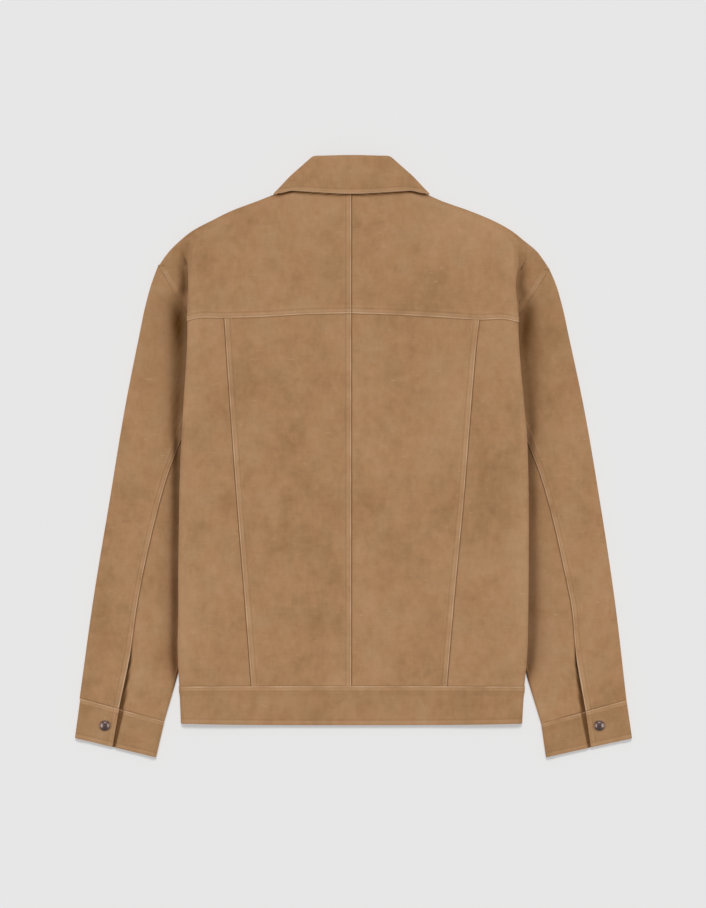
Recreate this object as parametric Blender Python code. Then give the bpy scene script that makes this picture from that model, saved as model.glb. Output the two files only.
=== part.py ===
"""A suede trucker jacket laid out flat on its front, with its back up and its sleeves beside it.

Metres, +Z up. +Y runs from the hem to the collar, and -X is the wearer's left. The two ends of a table's
column are named by the side of the body that they belong to. Every piece of the cut is a wall of suede
built on its outer face: the body's folded sides lie on the sleeves, and the front lies on the surface.

Sizes are in millimetres, and MM turns them into metres. "Out" is the distance from the centre-back seam.
"""

import bpy
import numpy as np

MM = 0.001
SIDES = {"left": -1, "right": 1}

# The suede and its seams.
PLY = 1.2
BAND = 2.2
LEAF = 2.6
STAND = 1.8
SEAM = 0.3

# The pressed heights of the tubes.
SLEEVE_HEIGHT = 8.0
SLEEVE_DIP = 1.8
CUFF_HEIGHT = 8.8
CUFF_DIP = 1.4
FOLD = 5.0
SHOULDER_WRAP = 5.0

# The lengths up the back.
WAIST_SEAM = -288.0
HEM = {"centre": -336.9, "side": -333.8}
NECK_CENTRE = 338.0
YOKE_CENTRE = 177.5
UNDERARM = (139.4, 63.1)
SHOULDER_TIP = {"left": (241.9, 238.1), "right": (247.9, 233.1)}

# The front edges: each front laps past the centre, and the left lies outermost.
LAP = 14.0
LEAF_TIP = (34.0, 231.0)
LAP_RISE = 2.9
FRONT_NECK = 222.0

# The cuff, its lapped slit and its snap.
CUFF_SEAM = {"left": ((339.4, -303.1), (234.0, -331.9)), "right": ((343.2, -305.2), (237.3, -335.2))}
CUFF_END = {"left": ((345.8, -350.9), (245.1, -375.3)), "right": ((350.0, -351.9), (243.8, -375.8))}
SLIT_TOP = 0.83
SLIT_GAP = (6.0, 3.6)
SNAP_RADIUS = 6.5
SNAP_HEIGHT = 2.6
SNAP_PLACE = {"left": (308.4, -337.9), "right": (310.1, -337.9)}

SUEDE = (0.392, 0.228, 0.112)
GUNMETAL = (0.075, 0.062, 0.060)


def table(names, *rows):
    """A short table, as one array for each named column."""
    return {name: np.array(column, float) for name, column in zip(names.split(), zip(*rows))}


def read(chart, column, at):
    """The column's value where the table's first column is `at`, on a smooth line through its rows."""
    keys = next(iter(chart.values()))
    values = chart[column]
    slopes = np.gradient(values, keys)
    at = np.clip(at, keys[0], keys[-1])
    i = np.clip(np.searchsorted(keys, at, side="right") - 1, 0, len(keys) - 2)
    step = keys[i + 1] - keys[i]
    t = (at - keys[i]) / step
    near = values[i] * (1 + 2 * t) + step * slopes[i] * t
    far = values[i + 1] * (3 - 2 * t) - step * slopes[i + 1] * (1 - t)
    return near * (1 - t) ** 2 + far * t**2


def ease(t):
    """A soft step from 0 to 1."""
    t = np.clip(t, 0, 1)
    return t * t * (3 - 2 * t)


# How far out the body's folded side lies, up its length.
BODY_SIDE = table(
    "y left right",
    (-337, 213.4, 213.4),
    (-289, 215.4, 216.3),
    (-240, 217.2, 219.9),
    (-200, 216.4, 220.8),
    (-150, 216.4, 221.3),
    (-80, 215.5, 221.4),
    (-10, 213.9, 220.6),
    (30, 211.8, 218.9),
    (70, 209.6, 215.3),
    (110, 206.9, 211.6),
    (150, 205.1, 208.9),
    (180, 205.0, 208.0),
    (209, 203.9, 205.5),
    (246, 204.1, 207.4),
    (263, 201.4, 206.9),
)
# The shoulder line, from the tip of the shoulder to the neck.
SHOULDER = table(
    "y left right",
    (232, 244.4, 248.6),
    (244, 236.9, 240.8),
    (257, 226.9, 230.6),
    (269, 214.6, 216.0),
    (282, 198.0, 199.4),
    (294, 175.2, 177.5),
    (307, 148.6, 146.0),
    (319, 116.5, 112.0),
    (331, 86.0, 86.0),
)
SLEEVE_OUTER = table(
    "y left right",
    (-306, 340.5, 343.3),
    (-181, 323.2, 328.1),
    (-56, 302.6, 309.6),
    (69, 281.7, 288.1),
    (144, 267.0, 272.2),
    (194, 256.4, 261.0),
    (219, 249.2, 254.2),
    (240, 240.9, 243.2),
)
SLEEVE_INNER = table(
    "y left right",
    (-336, 235.2, 237.5),
    (-276, 217.8, 219.2),
    (-181, 191.5, 192.0),
    (-56, 160.0, 160.0),
    (63, 139.4, 139.4),
)
# The seam between the upper and the under sleeve, as a share of the sleeve's width from its outer edge.
SLEEVE_SEAM = table(
    "along left right",
    (0.00, 0.680, 0.680),
    (0.24, 0.552, 0.536),
    (0.39, 0.479, 0.463),
    (0.50, 0.451, 0.438),
    (0.63, 0.439, 0.428),
    (0.74, 0.446, 0.427),
    (0.83, 0.472, 0.462),
    (1.00, 0.500, 0.505),
)
SIDE_BACK_SEAM = table(
    "y left right",
    (-288, 125.4, 119.6),
    (-183, 133.4, 128.5),
    (-57, 143.4, 140.4),
    (87, 153.6, 151.8),
    (139, 157.1, 156.3),
    (171, 159.0, 160.2),
)
YOKE_SEAM = table(
    "out left right",
    (0, 177.5, 177.5),
    (60, 176.0, 175.4),
    (118, 172.6, 171.9),
    (160, 171.2, 169.0),
    (194, 170.6, 169.2),
    (206, 167.4, 166.5),
)
# The height of the folded side's lower face, which climbs from the surface on to the sleeve.
BODY_LOW = table(
    "y low",
    (-337, 0.8),
    (-300, 1.6),
    (-280, 3.8),
    (-268, 6.5),
    (-255, 8.4),
    (-245, 8.6),
    (-200, 8.5),
    (180, 8.5),
    (212, 8.1),
    (238, 6.4),
    (263, 3.4),
    (294, 1.0),
    (320, 0.4),
    (345, 0.4),
)
BACK_MIDDLE = table(
    "y top",
    (-337, 7.8),
    (-280, 7.5),
    (-230, 6.2),
    (0, 6.4),
    (170, 7.0),
    (250, 8.2),
    (300, 9.4),
    (345, 10.6),
)
# The side seam under the folded side: its height, and how far it lies inside the sleeve's inner edge.
SIDE_SEAM = table(
    "y inside low",
    (-337, 12.0, 0.3),
    (-300, 12.0, 0.8),
    (-268, 12.0, 3.4),
    (-225, 12.0, 4.6),
    (30, 12.0, 4.6),
    (48, 7.0, 4.5),
    (57, 3.5, 4.4),
    (63, 0.9, 4.3),
)
FRONT_NECKLINE = table(
    "y out",
    (221, -14.0),
    (230, 27.0),
    (238, 30.0),
    (262, 41.5),
    (290, 56.5),
    (328, 76.5),
)


def tip(side):
    return np.array(SHOULDER_TIP[side])


def armhole_out(side, y):
    """The armhole seam runs straight from the tip of the shoulder to the underarm."""
    out, top = SHOULDER_TIP[side]
    return UNDERARM[0] + (out - UNDERARM[0]) * (y - UNDERARM[1]) / (top - UNDERARM[1])


def side_edge(side, y):
    """The body's folded side, which runs on up inside the shoulder line."""
    return np.minimum(read(BODY_SIDE, side, y), read(SHOULDER, side, y) - 14)


def back_top(side, out, y):
    """The height of the back's outer face: low at the centre, high where it lies over the sleeves."""
    crest = side_edge(side, y) - FOLD
    middle = read(BACK_MIDDLE, "top", y)
    high = read(BODY_LOW, "low", y) + 2 * FOLD
    return middle + (high - middle) * ease((out / crest - 0.35) / 0.65)


def side_seam_out(side, y):
    inside = read(SLEEVE_INNER, side, y) - read(SIDE_SEAM, "inside", y)
    return np.minimum(inside, read(BODY_SIDE, side, y) - FOLD - 4)


def collar_room(out, y):
    """The front rises over the collar's front leaves, which lie under it."""
    out = abs(out)
    leaf_end = LEAF_TIP[1] - 20 + max(1.75 * (out - LEAF_TIP[0]), 1.3 * (LEAF_TIP[0] - out))
    return (LEAF + SEAM) * ease((y - leaf_end + 30) / 30)


def front_low(side, out, y):
    """The height of the front's outer face, which lies on the surface and rises at its edges."""
    if y <= UNDERARM[1]:
        edge = side_seam_out(side, y)
        rise = read(SIDE_SEAM, "low", y)
    else:
        edge = armhole_out(side, min(y, SHOULDER_TIP[side][1]))
        rise = underarm_rise(side, y)
    low = rise * np.clip((out - edge + 20) / 20, 0, 1) ** 2
    low = np.maximum(low, collar_room(out, y))
    if side == "right":
        low = low + LAP_RISE * (1 - ease((out - LAP - 4) / 24))
    return low


def underarm_rise(side, y):
    """How high the front armhole seam stands near the underarm, where the sleeve's tube closes."""
    length = np.hypot(*(tip(side) - UNDERARM)) / (SHOULDER_TIP[side][1] - UNDERARM[1])
    return 4.3 * ease(1 - (y - UNDERARM[1]) * length / 45)


def wall(name, face, thickness, colour=SUEDE):
    """A piece of the cut: a wall built inwards from its outer face, given as rows of points."""
    face = np.asarray(face, float) * MM
    rows, columns = face.shape[:2]
    quads = []
    for r in range(rows - 1):
        for c in range(columns - 1):
            corner = r * columns + c
            quads.append((corner, corner + 1, corner + columns + 1, corner + columns))
    mesh = bpy.data.meshes.new(name)
    mesh.from_pydata(face.reshape(-1, 3).tolist(), [], quads)
    mesh.shade_smooth()
    piece = bpy.data.objects.new(name, mesh)
    bpy.context.collection.objects.link(piece)
    piece.parent = jacket
    piece.data.materials.append(finish(name, colour, 0.9, 0.0))
    solid = piece.modifiers.new("Wall", "SOLIDIFY")
    solid.thickness = thickness * MM
    solid.offset = -1
    return piece


def finish(name, colour, roughness, metallic):
    material = bpy.data.materials.new(name)
    material.use_nodes = True
    shader = material.node_tree.nodes["Principled BSDF"]
    shader.inputs["Base Color"].default_value = (*colour, 1)
    shader.inputs["Roughness"].default_value = roughness
    shader.inputs["Metallic"].default_value = metallic
    return material


def outward(side, rows):
    """Turns rows of (out, y, z) into points, with the faces pointing out on either side."""
    rows = np.asarray(rows, float)
    rows[..., 0] *= SIDES[side]
    return rows[:, ::-1] if side == "left" else rows


def arc(centre, radius, angles):
    """Points (across, up) round a circle, at angles in degrees from straight outwards."""
    turned = np.radians(angles)
    return [(centre[0] + radius * np.cos(t), centre[1] + radius * np.sin(t)) for t in turned]


# ---- The back panels and the yoke ----------------------------------------------------------------

BODY_LEVELS = (-288, -268, -250, -190, -110, -30, 30, 50, 63, 78, 110, 140, 167.4)
BACK_ACROSS = (0, 0.25, 0.5, 0.75, 1)
SIDE_ACROSS = (0, 0.33, 0.67)


def back_panel(side):
    """Centre back: from the centre seam to the side-back seam, waistband to yoke."""
    rows = []
    first, last = BODY_LEVELS[0], BODY_LEVELS[-1]
    for level in BODY_LEVELS:
        share = (level - first) / (last - first)
        level += SEAM / 2 * (1 - 2 * share)
        width = read(SIDE_BACK_SEAM, side, level) - SEAM
        row = []
        for across in BACK_ACROSS:
            out = SEAM / 2 + across * width
            y = level + share * (read(YOKE_SEAM, side, out) - last)
            row.append((out, y, back_top(side, out, y)))
        rows.append(row)
    return outward(side, rows)


def under_layer(side, y):
    """The part folded under, from below the fold in to the side seam or, higher up, the armhole seam."""
    start = read(BODY_SIDE, side, y) - FOLD
    low = read(BODY_LOW, "low", y)
    if y > UNDERARM[1] + 1:
        end = armhole_out(side, y) + SEAM
        return [(start + t * (end - start), low) for t in (0.33, 0.67, 1)]
    end = side_seam_out(side, y) + SEAM
    seam_low = read(SIDE_SEAM, "low", y)
    if y > UNDERARM[1] - 1:
        seam_low = 8.1
    crest = min(read(SLEEVE_INNER, side, y) + 4, start - 1)
    points = [(crest, low)] if crest < start - 2 else [(start - 0.25 * (start - end), low)]
    for t in (0.5, 0):
        points.append((end + t * (crest - end), seam_low + t * (low - seam_low)))
    return points


def side_back_panel(side):
    """Side back: over the top, round the folded side and under, as far as the seam that ends it."""
    rows = []
    first, last = BODY_LEVELS[0], BODY_LEVELS[-1]
    for level in BODY_LEVELS:
        share = (level - first) / (last - first)
        level += SEAM / 2 * (1 - 2 * share)
        seam = read(SIDE_BACK_SEAM, side, level) + SEAM / 2
        crest = read(BODY_SIDE, side, level) - FOLD
        row = []
        for across in SIDE_ACROSS:
            out = seam + across * (crest - seam)
            y = level + share * (read(YOKE_SEAM, side, out) - last)
            row.append((out, y, back_top(side, out, y)))
        middle = read(BODY_LOW, "low", level) + FOLD
        for out, z in arc((crest, middle), FOLD, (90, 54, 18, -18, -54, -90)):
            row.append((out, level, z))
        for out, z in under_layer(side, level):
            row.append((out, level, z))
        rows.append(row)
    return outward(side, rows)


YOKE_LEVELS = (167.4, 180, 195, 210, 224, 234, 239, 249, 263, 282, 302, 319, 330)
FOLD_STEPS = 7


def yoke_end(side, y):
    """The yoke's outer end at a level: the folded side, then the dip that runs out to its seam.

    Below the tip of the shoulder it ends at the armhole seam. Above, it rolls over the shoulder line
    and wraps under to the shoulder seam. The fold opens out towards the shoulder line.
    """
    crest = side_edge(side, y) - FOLD
    high = read(BODY_LOW, "low", y) + 2 * FOLD
    folded = ease((263 - y) / 78)
    if y < SHOULDER_TIP[side][1] - 1:
        seam = armhole_out(side, y) - SEAM * 1.6
        steps = np.linspace(0, 1, FOLD_STEPS + 4)
        plain = [(crest + t * (seam - crest), high + (SLEEVE_HEIGHT - high) * ease(t * 1.15)) for t in steps]
        last = [(out, SLEEVE_HEIGHT) for out in np.linspace(crest - 1, seam, 5)[1:]]
    else:
        line = read(SHOULDER, side, y)
        under = collar_room(line - SHOULDER_WRAP, y)
        top = read(BACK_MIDDLE, "top", y) * 0.25 + SLEEVE_HEIGHT * 0.75
        radius = (top - under) / 2
        steps = np.linspace(0, 1, FOLD_STEPS + 1)[:-1]
        roll = line - radius
        plain = [(crest + t * (roll - crest), high + (top - high) * ease(t)) for t in steps]
        last = arc((roll, under + radius), radius, (90, 30, -30, -90))
        plain += last
    full = arc((crest, high - FOLD), FOLD, (90, 54, 18, -18, -54, -88))
    full.append((crest - 0.4, high - 2 * FOLD - 0.25))
    full += last
    return [tuple(folded * np.array(f) + (1 - folded) * np.array(p)) for f, p in zip(full, plain)]


def yoke(side):
    """Half the back yoke: centre seam to armhole, and over the shoulder line."""
    rows = []
    first, last = YOKE_LEVELS[0], YOKE_LEVELS[-1]
    seam = read(SIDE_BACK_SEAM, side, first) / (side_edge(side, first) - FOLD)
    shares = [seam * across for across in BACK_ACROSS[:-1]]
    shares += [seam + across * (1 - seam) for across in SIDE_ACROSS]
    for level in YOKE_LEVELS:
        share = (level - first) / (last - first)
        if share == 0:
            level += SEAM / 2
        centre = YOKE_CENTRE + SEAM / 2 + share * (NECK_CENTRE - YOKE_CENTRE)
        end = yoke_end(side, level)
        crest = end[0][0]
        row = []
        for across in shares:
            out = SEAM / 2 + across * (crest - SEAM / 2)
            straight = centre + across * (level - centre)
            bend = read(YOKE_SEAM, side, out) - (YOKE_CENTRE + across * (first - YOKE_CENTRE))
            y = straight + bend * (1 - share) ** 3
            row.append((out, y, back_top(side, out, y)))
        row += [(out, level, z) for out, z in end]
        rows.append(row)
    return outward(side, rows)


# ---- The fronts ----------------------------------------------------------------------------------

FRONT_LEVELS = (*BODY_LEVELS[:10], 110, 155, 195, 222, 230, 238, 249, 263, 282, 302, 319, 327)


def front_columns(inner, outer, far):
    """Places across a front: close together at its lap and collar, then spread to its outer edge."""
    width = outer - inner
    near = np.array((0, 16, 32, 46, 60)) * min(1, width / 200)
    return inner + np.append(near, near[-1] + (width - near[-1]) * np.array(far))


def front_panel(side):
    """A plain front: from its lapped edge and neckline out to the side, armhole and shoulder seams."""
    rows = []
    for level in FRONT_LEVELS:
        y = level + (SEAM / 2 if level == FRONT_LEVELS[0] else 0)
        inner = -LAP if y <= FRONT_NECK else read(FRONT_NECKLINE, "out", y)
        if y <= UNDERARM[1]:
            outer = side_seam_out(side, y) - SEAM / 2
        elif y < SHOULDER_TIP[side][1] - 4:
            outer = armhole_out(side, y) - SEAM * 1.6
        else:
            outer = read(SHOULDER, side, y) - SHOULDER_WRAP - 3
        row = []
        for out in front_columns(inner, outer, (0.35, 0.65, 0.85, 1)):
            row.append((out, y, front_low(side, out, y)))
        rows.append(row[::-1])
    return outward(side, rows)


# ---- The waistband -------------------------------------------------------------------------------


def hem_y(out):
    """The hem runs a little lower at the centre."""
    return HEM["side"] + (HEM["centre"] - HEM["side"]) * ease(1 - out / 210)


def waistband_back():
    """One band across the back, round both folded sides to the side seams."""
    rows = []
    for share in (1, 0.5, 0):
        row = []
        for side in ("left", "right"):
            y = WAIST_SEAM - SEAM / 2 + share * (HEM["side"] - WAIST_SEAM)
            crest = read(BODY_SIDE, side, y) - FOLD
            low = read(BODY_LOW, "low", y)
            half = []
            for across in (0, 0.25, 0.5, 0.75):
                out = across * crest
                level = WAIST_SEAM - SEAM / 2 + share * (hem_y(out) - WAIST_SEAM)
                half.append((out, level, back_top(side, out, level)))
            for out, z in arc((crest, low + FOLD), FOLD, (90, 60, 30, 0, -30, -60, -90)):
                half.append((out, y, z))
            end = side_seam_out(side, y) + SEAM
            half.append((end, y, read(SIDE_SEAM, "low", y)))
            half = [(SIDES[side] * out, level, z) for out, level, z in half]
            row += half[:0:-1] if side == "left" else half
        rows.append(row)
    return np.array(rows)


def waistband_front(side):
    """The band along the foot of a front, lapped with it."""
    rows = []
    for share in (1, 0.5, 0):
        y = WAIST_SEAM - SEAM / 2 + share * (HEM["side"] - WAIST_SEAM)
        outer = side_seam_out(side, y) - SEAM / 2
        row = []
        for out in front_columns(-LAP, outer, (0.5, 0.88, 1)):
            row.append((out, y, front_low(side, out, y)))
        rows.append(row[::-1])
    return outward(side, rows)


# ---- The sleeves and cuffs -----------------------------------------------------------------------

SLEEVE_ALONG = (0.004, 0.035, 0.08, 0.17, 0.28, 0.41, 0.55, 0.70, SLIT_TOP, 0.90, 0.999)


def sleeve_ends(side, along):
    """Where a section across the sleeve meets its outer and its inner edge."""
    top = SHOULDER_TIP[side][1]
    outer_y = top + along * (CUFF_SEAM[side][0][1] - top)
    inner_y = UNDERARM[1] + along * (CUFF_SEAM[side][1][1] - UNDERARM[1])
    outer = np.array((read(SLEEVE_OUTER, side, outer_y), outer_y))
    if along < 0.05:
        outer = outer + (tip(side) - outer) * ease(1 - along / 0.05)
    inner = np.array((read(SLEEVE_INNER, side, inner_y), inner_y))
    return outer, inner


def placed(outer, inner, across):
    """Points (out, y, z) from points (distance from the outer edge, z) in a section."""
    along = (inner - outer) / np.hypot(*(inner - outer))
    return [(*(outer + c * along), z) for c, z in across]


def sleeve_section(side, along):
    """One section's sizes: its ends and width, the seam's place, and the heights of its faces."""
    outer, inner = sleeve_ends(side, along)
    width = np.hypot(*(inner - outer))
    seam = width * read(SLEEVE_SEAM, side, along)

    def top(c):
        return SLEEVE_HEIGHT - SLEEVE_DIP * ease((np.minimum(c, width - c) - 3) / 24)

    def bottom(c):
        return 4.3 * ease(1 - (width - c) / 45) * ease(1 - along / 0.07)

    return outer, inner, width, seam, top, bottom


def sleeve_upper(side):
    """The outer piece: from the seam on top, out round the outer edge and in again underneath."""
    rows = []
    for along in SLEEVE_ALONG:
        outer, inner, width, seam, top, bottom = sleeve_section(side, along)
        radius = SLEEVE_HEIGHT / 2
        across = [(c, top(c)) for c in np.linspace(seam - SEAM / 2, radius + 24, 3)]
        across += arc((radius, radius), radius, (90, 126, 162, 198, 234, 270))
        across += [(c, bottom(c)) for c in np.linspace(radius, seam - SEAM / 2, 3)[1:]]
        rows.append(placed(outer, inner, across))
    return outward(side, rows)[::-1]


def sleeve_under(side):
    """The inner piece: from the seam underneath, in round the inner edge and back to the seam on top."""
    rows = []
    for along in SLEEVE_ALONG:
        outer, inner, width, seam, top, bottom = sleeve_section(side, along)
        low = bottom(width)
        radius = (SLEEVE_HEIGHT - low) / 2
        slit = max(along - SLIT_TOP, 0) / (1 - SLIT_TOP)
        seam_top = seam + SEAM / 2 + slit * (SLIT_GAP[0] - SEAM)
        across = [(c, bottom(c)) for c in np.linspace(seam + SEAM / 2, width - radius - 24, 3)]
        across += arc((width - radius, low + radius), radius, (-90, -54, -18, 18, 54, 90))
        across += [(c, top(c)) for c in np.linspace(width - radius - 24, seam_top, 3)]
        rows.append(placed(outer, inner, across))
    return outward(side, rows)[::-1]


def cuff(side):
    """A band round the sleeve's end, open at the slit, where its outer end laps over."""
    rows = []
    for share in (0, 0.5, 1):
        seam_ends = np.array(CUFF_SEAM[side])
        ends = seam_ends + share * (np.array(CUFF_END[side]) - seam_ends)
        towards_end = np.array(CUFF_END[side][0]) - seam_ends[0]
        ends = ends + (1 - share) * SEAM * 1.5 * towards_end / np.hypot(*towards_end)
        outer, inner = ends
        width = np.hypot(*(inner - outer))
        slit = width * (0.500 - 0.020 * share)
        gap = SLIT_GAP[0] + share * (SLIT_GAP[1] - SLIT_GAP[0])
        radius = CUFF_HEIGHT / 2

        def top(c):
            return CUFF_HEIGHT - CUFF_DIP * ease((np.minimum(c, width - c) - radius) / 16)

        across = [(c, top(c)) for c in np.linspace(slit + gap, width - radius, 5)[:-1]]
        across += arc((width - radius, radius), radius, (90, 54, 18, -18, -54, -90))
        across += [(c, 0) for c in np.linspace(width - radius, radius, 5)[1:-1]]
        across += arc((radius, radius), radius, (-90, -126, -162, -198, -234, -270))
        across += [(c, top(c)) for c in np.linspace(radius, slit, 5)[1:]]
        rows.append(placed(outer, inner, across))
    return outward(side, rows)


def snap(side):
    """A turned metal cap, domed, on the cuff's outer end."""
    out, y = SNAP_PLACE[side]
    base = CUFF_HEIGHT - CUFF_DIP + SEAM
    profile = table(
        "radius height",
        (0.92, 0.0),
        (1.00, 0.22),
        (0.96, 0.45),
        (0.78, 0.74),
        (0.45, 0.94),
    )
    sides = 20
    turns = np.linspace(0, 2 * np.pi, sides, endpoint=False)
    points = []
    for radius, height in zip(profile["radius"], profile["height"]):
        for turn in turns:
            x = SIDES[side] * out + SNAP_RADIUS * radius * np.cos(turn)
            points.append((x, y + SNAP_RADIUS * radius * np.sin(turn), base + SNAP_HEIGHT * height))
    points.append((SIDES[side] * out, y, base + SNAP_HEIGHT))
    faces = [tuple(range(sides))[::-1]]
    rings = len(profile["radius"])
    for ring in range(rings - 1):
        for i in range(sides):
            j = (i + 1) % sides
            low, high = ring * sides, (ring + 1) * sides
            faces.append((low + i, low + j, high + j, high + i))
    top = (rings - 1) * sides
    faces += [(top + i, top + (i + 1) % sides, rings * sides) for i in range(sides)]
    mesh = bpy.data.meshes.new(f"snap_{side}")
    mesh.from_pydata([tuple(np.array(p) * MM) for p in points], [], faces)
    mesh.shade_smooth()
    piece = bpy.data.objects.new(f"snap_{side}", mesh)
    bpy.context.collection.objects.link(piece)
    piece.parent = jacket
    piece.data.materials.append(finish(f"snap_{side}", GUNMETAL, 0.4, 0.9))


# ---- The collar ----------------------------------------------------------------------------------

COLLAR_FOLD = {"y": 375.6, "half": 50.6, "top": 15.2}
COLLAR_EDGE = {"y": 327.0, "half": 98.0, "top": 13.6}
COLLAR_ROLL = 2.9
COLLAR_DROP = 100.0
STAND_DEPTH = 0.74


def collar_line(down, inset, lift):
    """One line round the flattened collar: from centre front round by the back to centre front again.

    `down` is 0 at the fold line and 1 at the leaf's outer edge. `inset` moves the line towards the
    neck's inside, and `lift` raises its sides above its centre back.
    """
    y = COLLAR_FOLD["y"] - COLLAR_ROLL + down * (COLLAR_EDGE["y"] - COLLAR_FOLD["y"] + COLLAR_ROLL)
    half = COLLAR_FOLD["half"] + down * (COLLAR_EDGE["half"] - COLLAR_FOLD["half"])
    top = COLLAR_FOLD["top"] + down * (COLLAR_EDGE["top"] - COLLAR_FOLD["top"])
    radius = top / 2
    crest = half - radius
    front_end = 2 + (LEAF_TIP[0] - 2) * down
    quarter = []
    for t in (1, 0.67, 0.33):
        quarter.append((crest - t * (crest - front_end), y + lift - COLLAR_DROP * t, inset))
    for angle in (-90, -50, 0, 50, 90):
        turn = np.radians(angle)
        place = crest + (radius - inset) * np.cos(turn)
        quarter.append((place, y + lift, radius + (radius - inset) * np.sin(turn)))
    for t in (0.67, 0.33):
        quarter.append((crest * t, y + lift * ease(t), top - inset))
    left = [(-out, level, z) for out, level, z in quarter]
    return np.array([*left, (0, y, top - inset), *quarter[::-1]])


def collar_fall():
    """The leaf that shows: from its outer edge up over the fold line and down inside the roll."""
    rows = [collar_line(down, 0, 4 * down) for down in (1, 0.65, 0.3, 0)]
    fold = rows[-1]
    inside = collar_line(0, 2 * COLLAR_ROLL, 0)
    up = fold - rows[0]
    up[:, 2] = 0
    up /= np.linalg.norm(up, axis=1)[:, None]
    for angle in (50, 90, 130, 180):
        turn = np.radians(angle)
        across = (fold - inside) / 2 * np.cos(turn)
        rows.append((fold + inside) / 2 + across + COLLAR_ROLL * np.sin(turn) * up)
    return rows


def collar_stand():
    """The band between the fold line and the neckline, inside the fall."""
    return [collar_line(down, 2 * COLLAR_ROLL, -5 * down) for down in (0.09, 0.4, STAND_DEPTH)]


# ---- Putting the jacket together -----------------------------------------------------------------

for old in list(bpy.data.objects):
    bpy.data.objects.remove(old)

jacket = bpy.data.objects.new("jacket", None)
bpy.context.collection.objects.link(jacket)

for side in SIDES:
    wall(f"yoke_{side}", yoke(side), PLY)
    wall(f"back_{side}", back_panel(side), PLY)
    wall(f"side_back_{side}", side_back_panel(side), PLY)
    wall(f"front_{side}", front_panel(side), PLY)
    wall(f"waistband_front_{side}", waistband_front(side), BAND)
    wall(f"sleeve_upper_{side}", sleeve_upper(side), PLY)
    wall(f"sleeve_under_{side}", sleeve_under(side), PLY)
    wall(f"cuff_{side}", cuff(side), BAND)
    snap(side)
wall("waistband_back", waistband_back(), BAND)
wall("collar_fall", collar_fall(), LEAF)
wall("collar_stand", collar_stand(), STAND)

# The origin is the middle of the jacket's outline, on the surface that it lies on.
corners = []
for piece in jacket.children:
    corners += [np.array(vertex.co) for vertex in piece.data.vertices]
middle = (np.min(corners, axis=0) + np.max(corners, axis=0)) / 2
jacket.location = (-middle[0], -middle[1], 0)
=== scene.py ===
import bpy
import numpy as np
from mathutils import Matrix, Vector


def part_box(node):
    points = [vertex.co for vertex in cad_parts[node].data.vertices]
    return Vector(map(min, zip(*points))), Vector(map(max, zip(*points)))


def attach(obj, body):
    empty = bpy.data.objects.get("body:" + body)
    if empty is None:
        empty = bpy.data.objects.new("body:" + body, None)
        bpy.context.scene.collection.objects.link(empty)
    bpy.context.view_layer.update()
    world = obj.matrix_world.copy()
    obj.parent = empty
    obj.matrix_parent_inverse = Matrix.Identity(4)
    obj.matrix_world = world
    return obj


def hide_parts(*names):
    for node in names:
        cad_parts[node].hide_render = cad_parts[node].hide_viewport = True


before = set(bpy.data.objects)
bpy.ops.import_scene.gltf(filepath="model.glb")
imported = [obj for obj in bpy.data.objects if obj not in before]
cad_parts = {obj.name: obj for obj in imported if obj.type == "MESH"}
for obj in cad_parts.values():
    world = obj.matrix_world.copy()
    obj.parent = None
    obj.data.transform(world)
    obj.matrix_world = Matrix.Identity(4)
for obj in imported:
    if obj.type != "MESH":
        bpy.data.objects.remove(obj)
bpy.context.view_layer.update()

# A tan suede trucker jacket, laid out flat on its front with its sleeves beside it.
#
# Every piece is a sheet of suede laid on the form that it takes in the jacket, raised over its seam
# allowances, pressed down along its topstitching and given its thickness. Sizes are in millimetres, and
# MM turns them into metres. "Out" is the distance from the centre-back seam to either side, y runs up
# the back to the collar, and left and right are the wearer's.


# ---- The surface and the light -------------------------------
# The jacket lies on a pale, even surface under a dim sky. Two broad, soft lamps stand low at its sides,
# and a weaker one beyond the collar throws short shadows below the hem and cuffs.

FLOOR_SIZE = 12.0
FLOOR_TONE = (0.45, 0.45, 0.45, 1)
FLOOR_GLOW = 0.390
WHITE = (1.0, 1.0, 1.0, 1)
SKY_STRENGTH = 0.30

bpy.ops.object.select_all(action="DESELECT")
bpy.ops.mesh.primitive_plane_add(size=FLOOR_SIZE, location=(0, 0, 0))
floor = bpy.context.object
floor.name = "floor"

paper = bpy.data.materials.new("pale paper")
paper.use_nodes = True
paper_shader = paper.node_tree.nodes["Principled BSDF"]
paper_shader.inputs["Base Color"].default_value = FLOOR_TONE
paper_shader.inputs["Roughness"].default_value = 1.0
paper_shader.inputs["Specular IOR Level"].default_value = 0.0
paper_shader.inputs["Emission Color"].default_value = WHITE
paper_shader.inputs["Emission Strength"].default_value = FLOOR_GLOW
floor.data.materials.append(paper)

world = bpy.data.worlds.new("dim sky")
world.use_nodes = True
world.node_tree.nodes["Background"].inputs["Color"].default_value = WHITE
world.node_tree.nodes["Background"].inputs["Strength"].default_value = SKY_STRENGTH
bpy.context.scene.world = world

# Each lamp's tilt from straight overhead, in degrees about x and y, its strength and its breadth.
# The first three light only the jacket, and the last lights only the floor.
LAMPS = {
    "left lamp": (0, -56, 1.72, 48),
    "right lamp": (0, 56, 1.72, 48),
    "collar lamp": (-50, 0, 0.78, 36),
    "floor lamp": (-30, 0, 2.20, 18),
}

for name, (tilt_x, tilt_y, strength, breadth) in LAMPS.items():
    bpy.ops.object.light_add(type="SUN", location=(0, 0, 3))
    lamp = bpy.context.object
    lamp.name = name
    lamp.rotation_euler = np.radians((tilt_x, tilt_y, 0))
    lamp.data.energy = strength
    lamp.data.angle = np.radians(breadth)
    lit = bpy.data.collections.new(name)
    lit.objects.link(floor)
    lit.collection_objects[0].light_linking.link_state = "INCLUDE" if name == "floor lamp" else "EXCLUDE"
    lamp.light_linking.receiver_collection = lit


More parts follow.
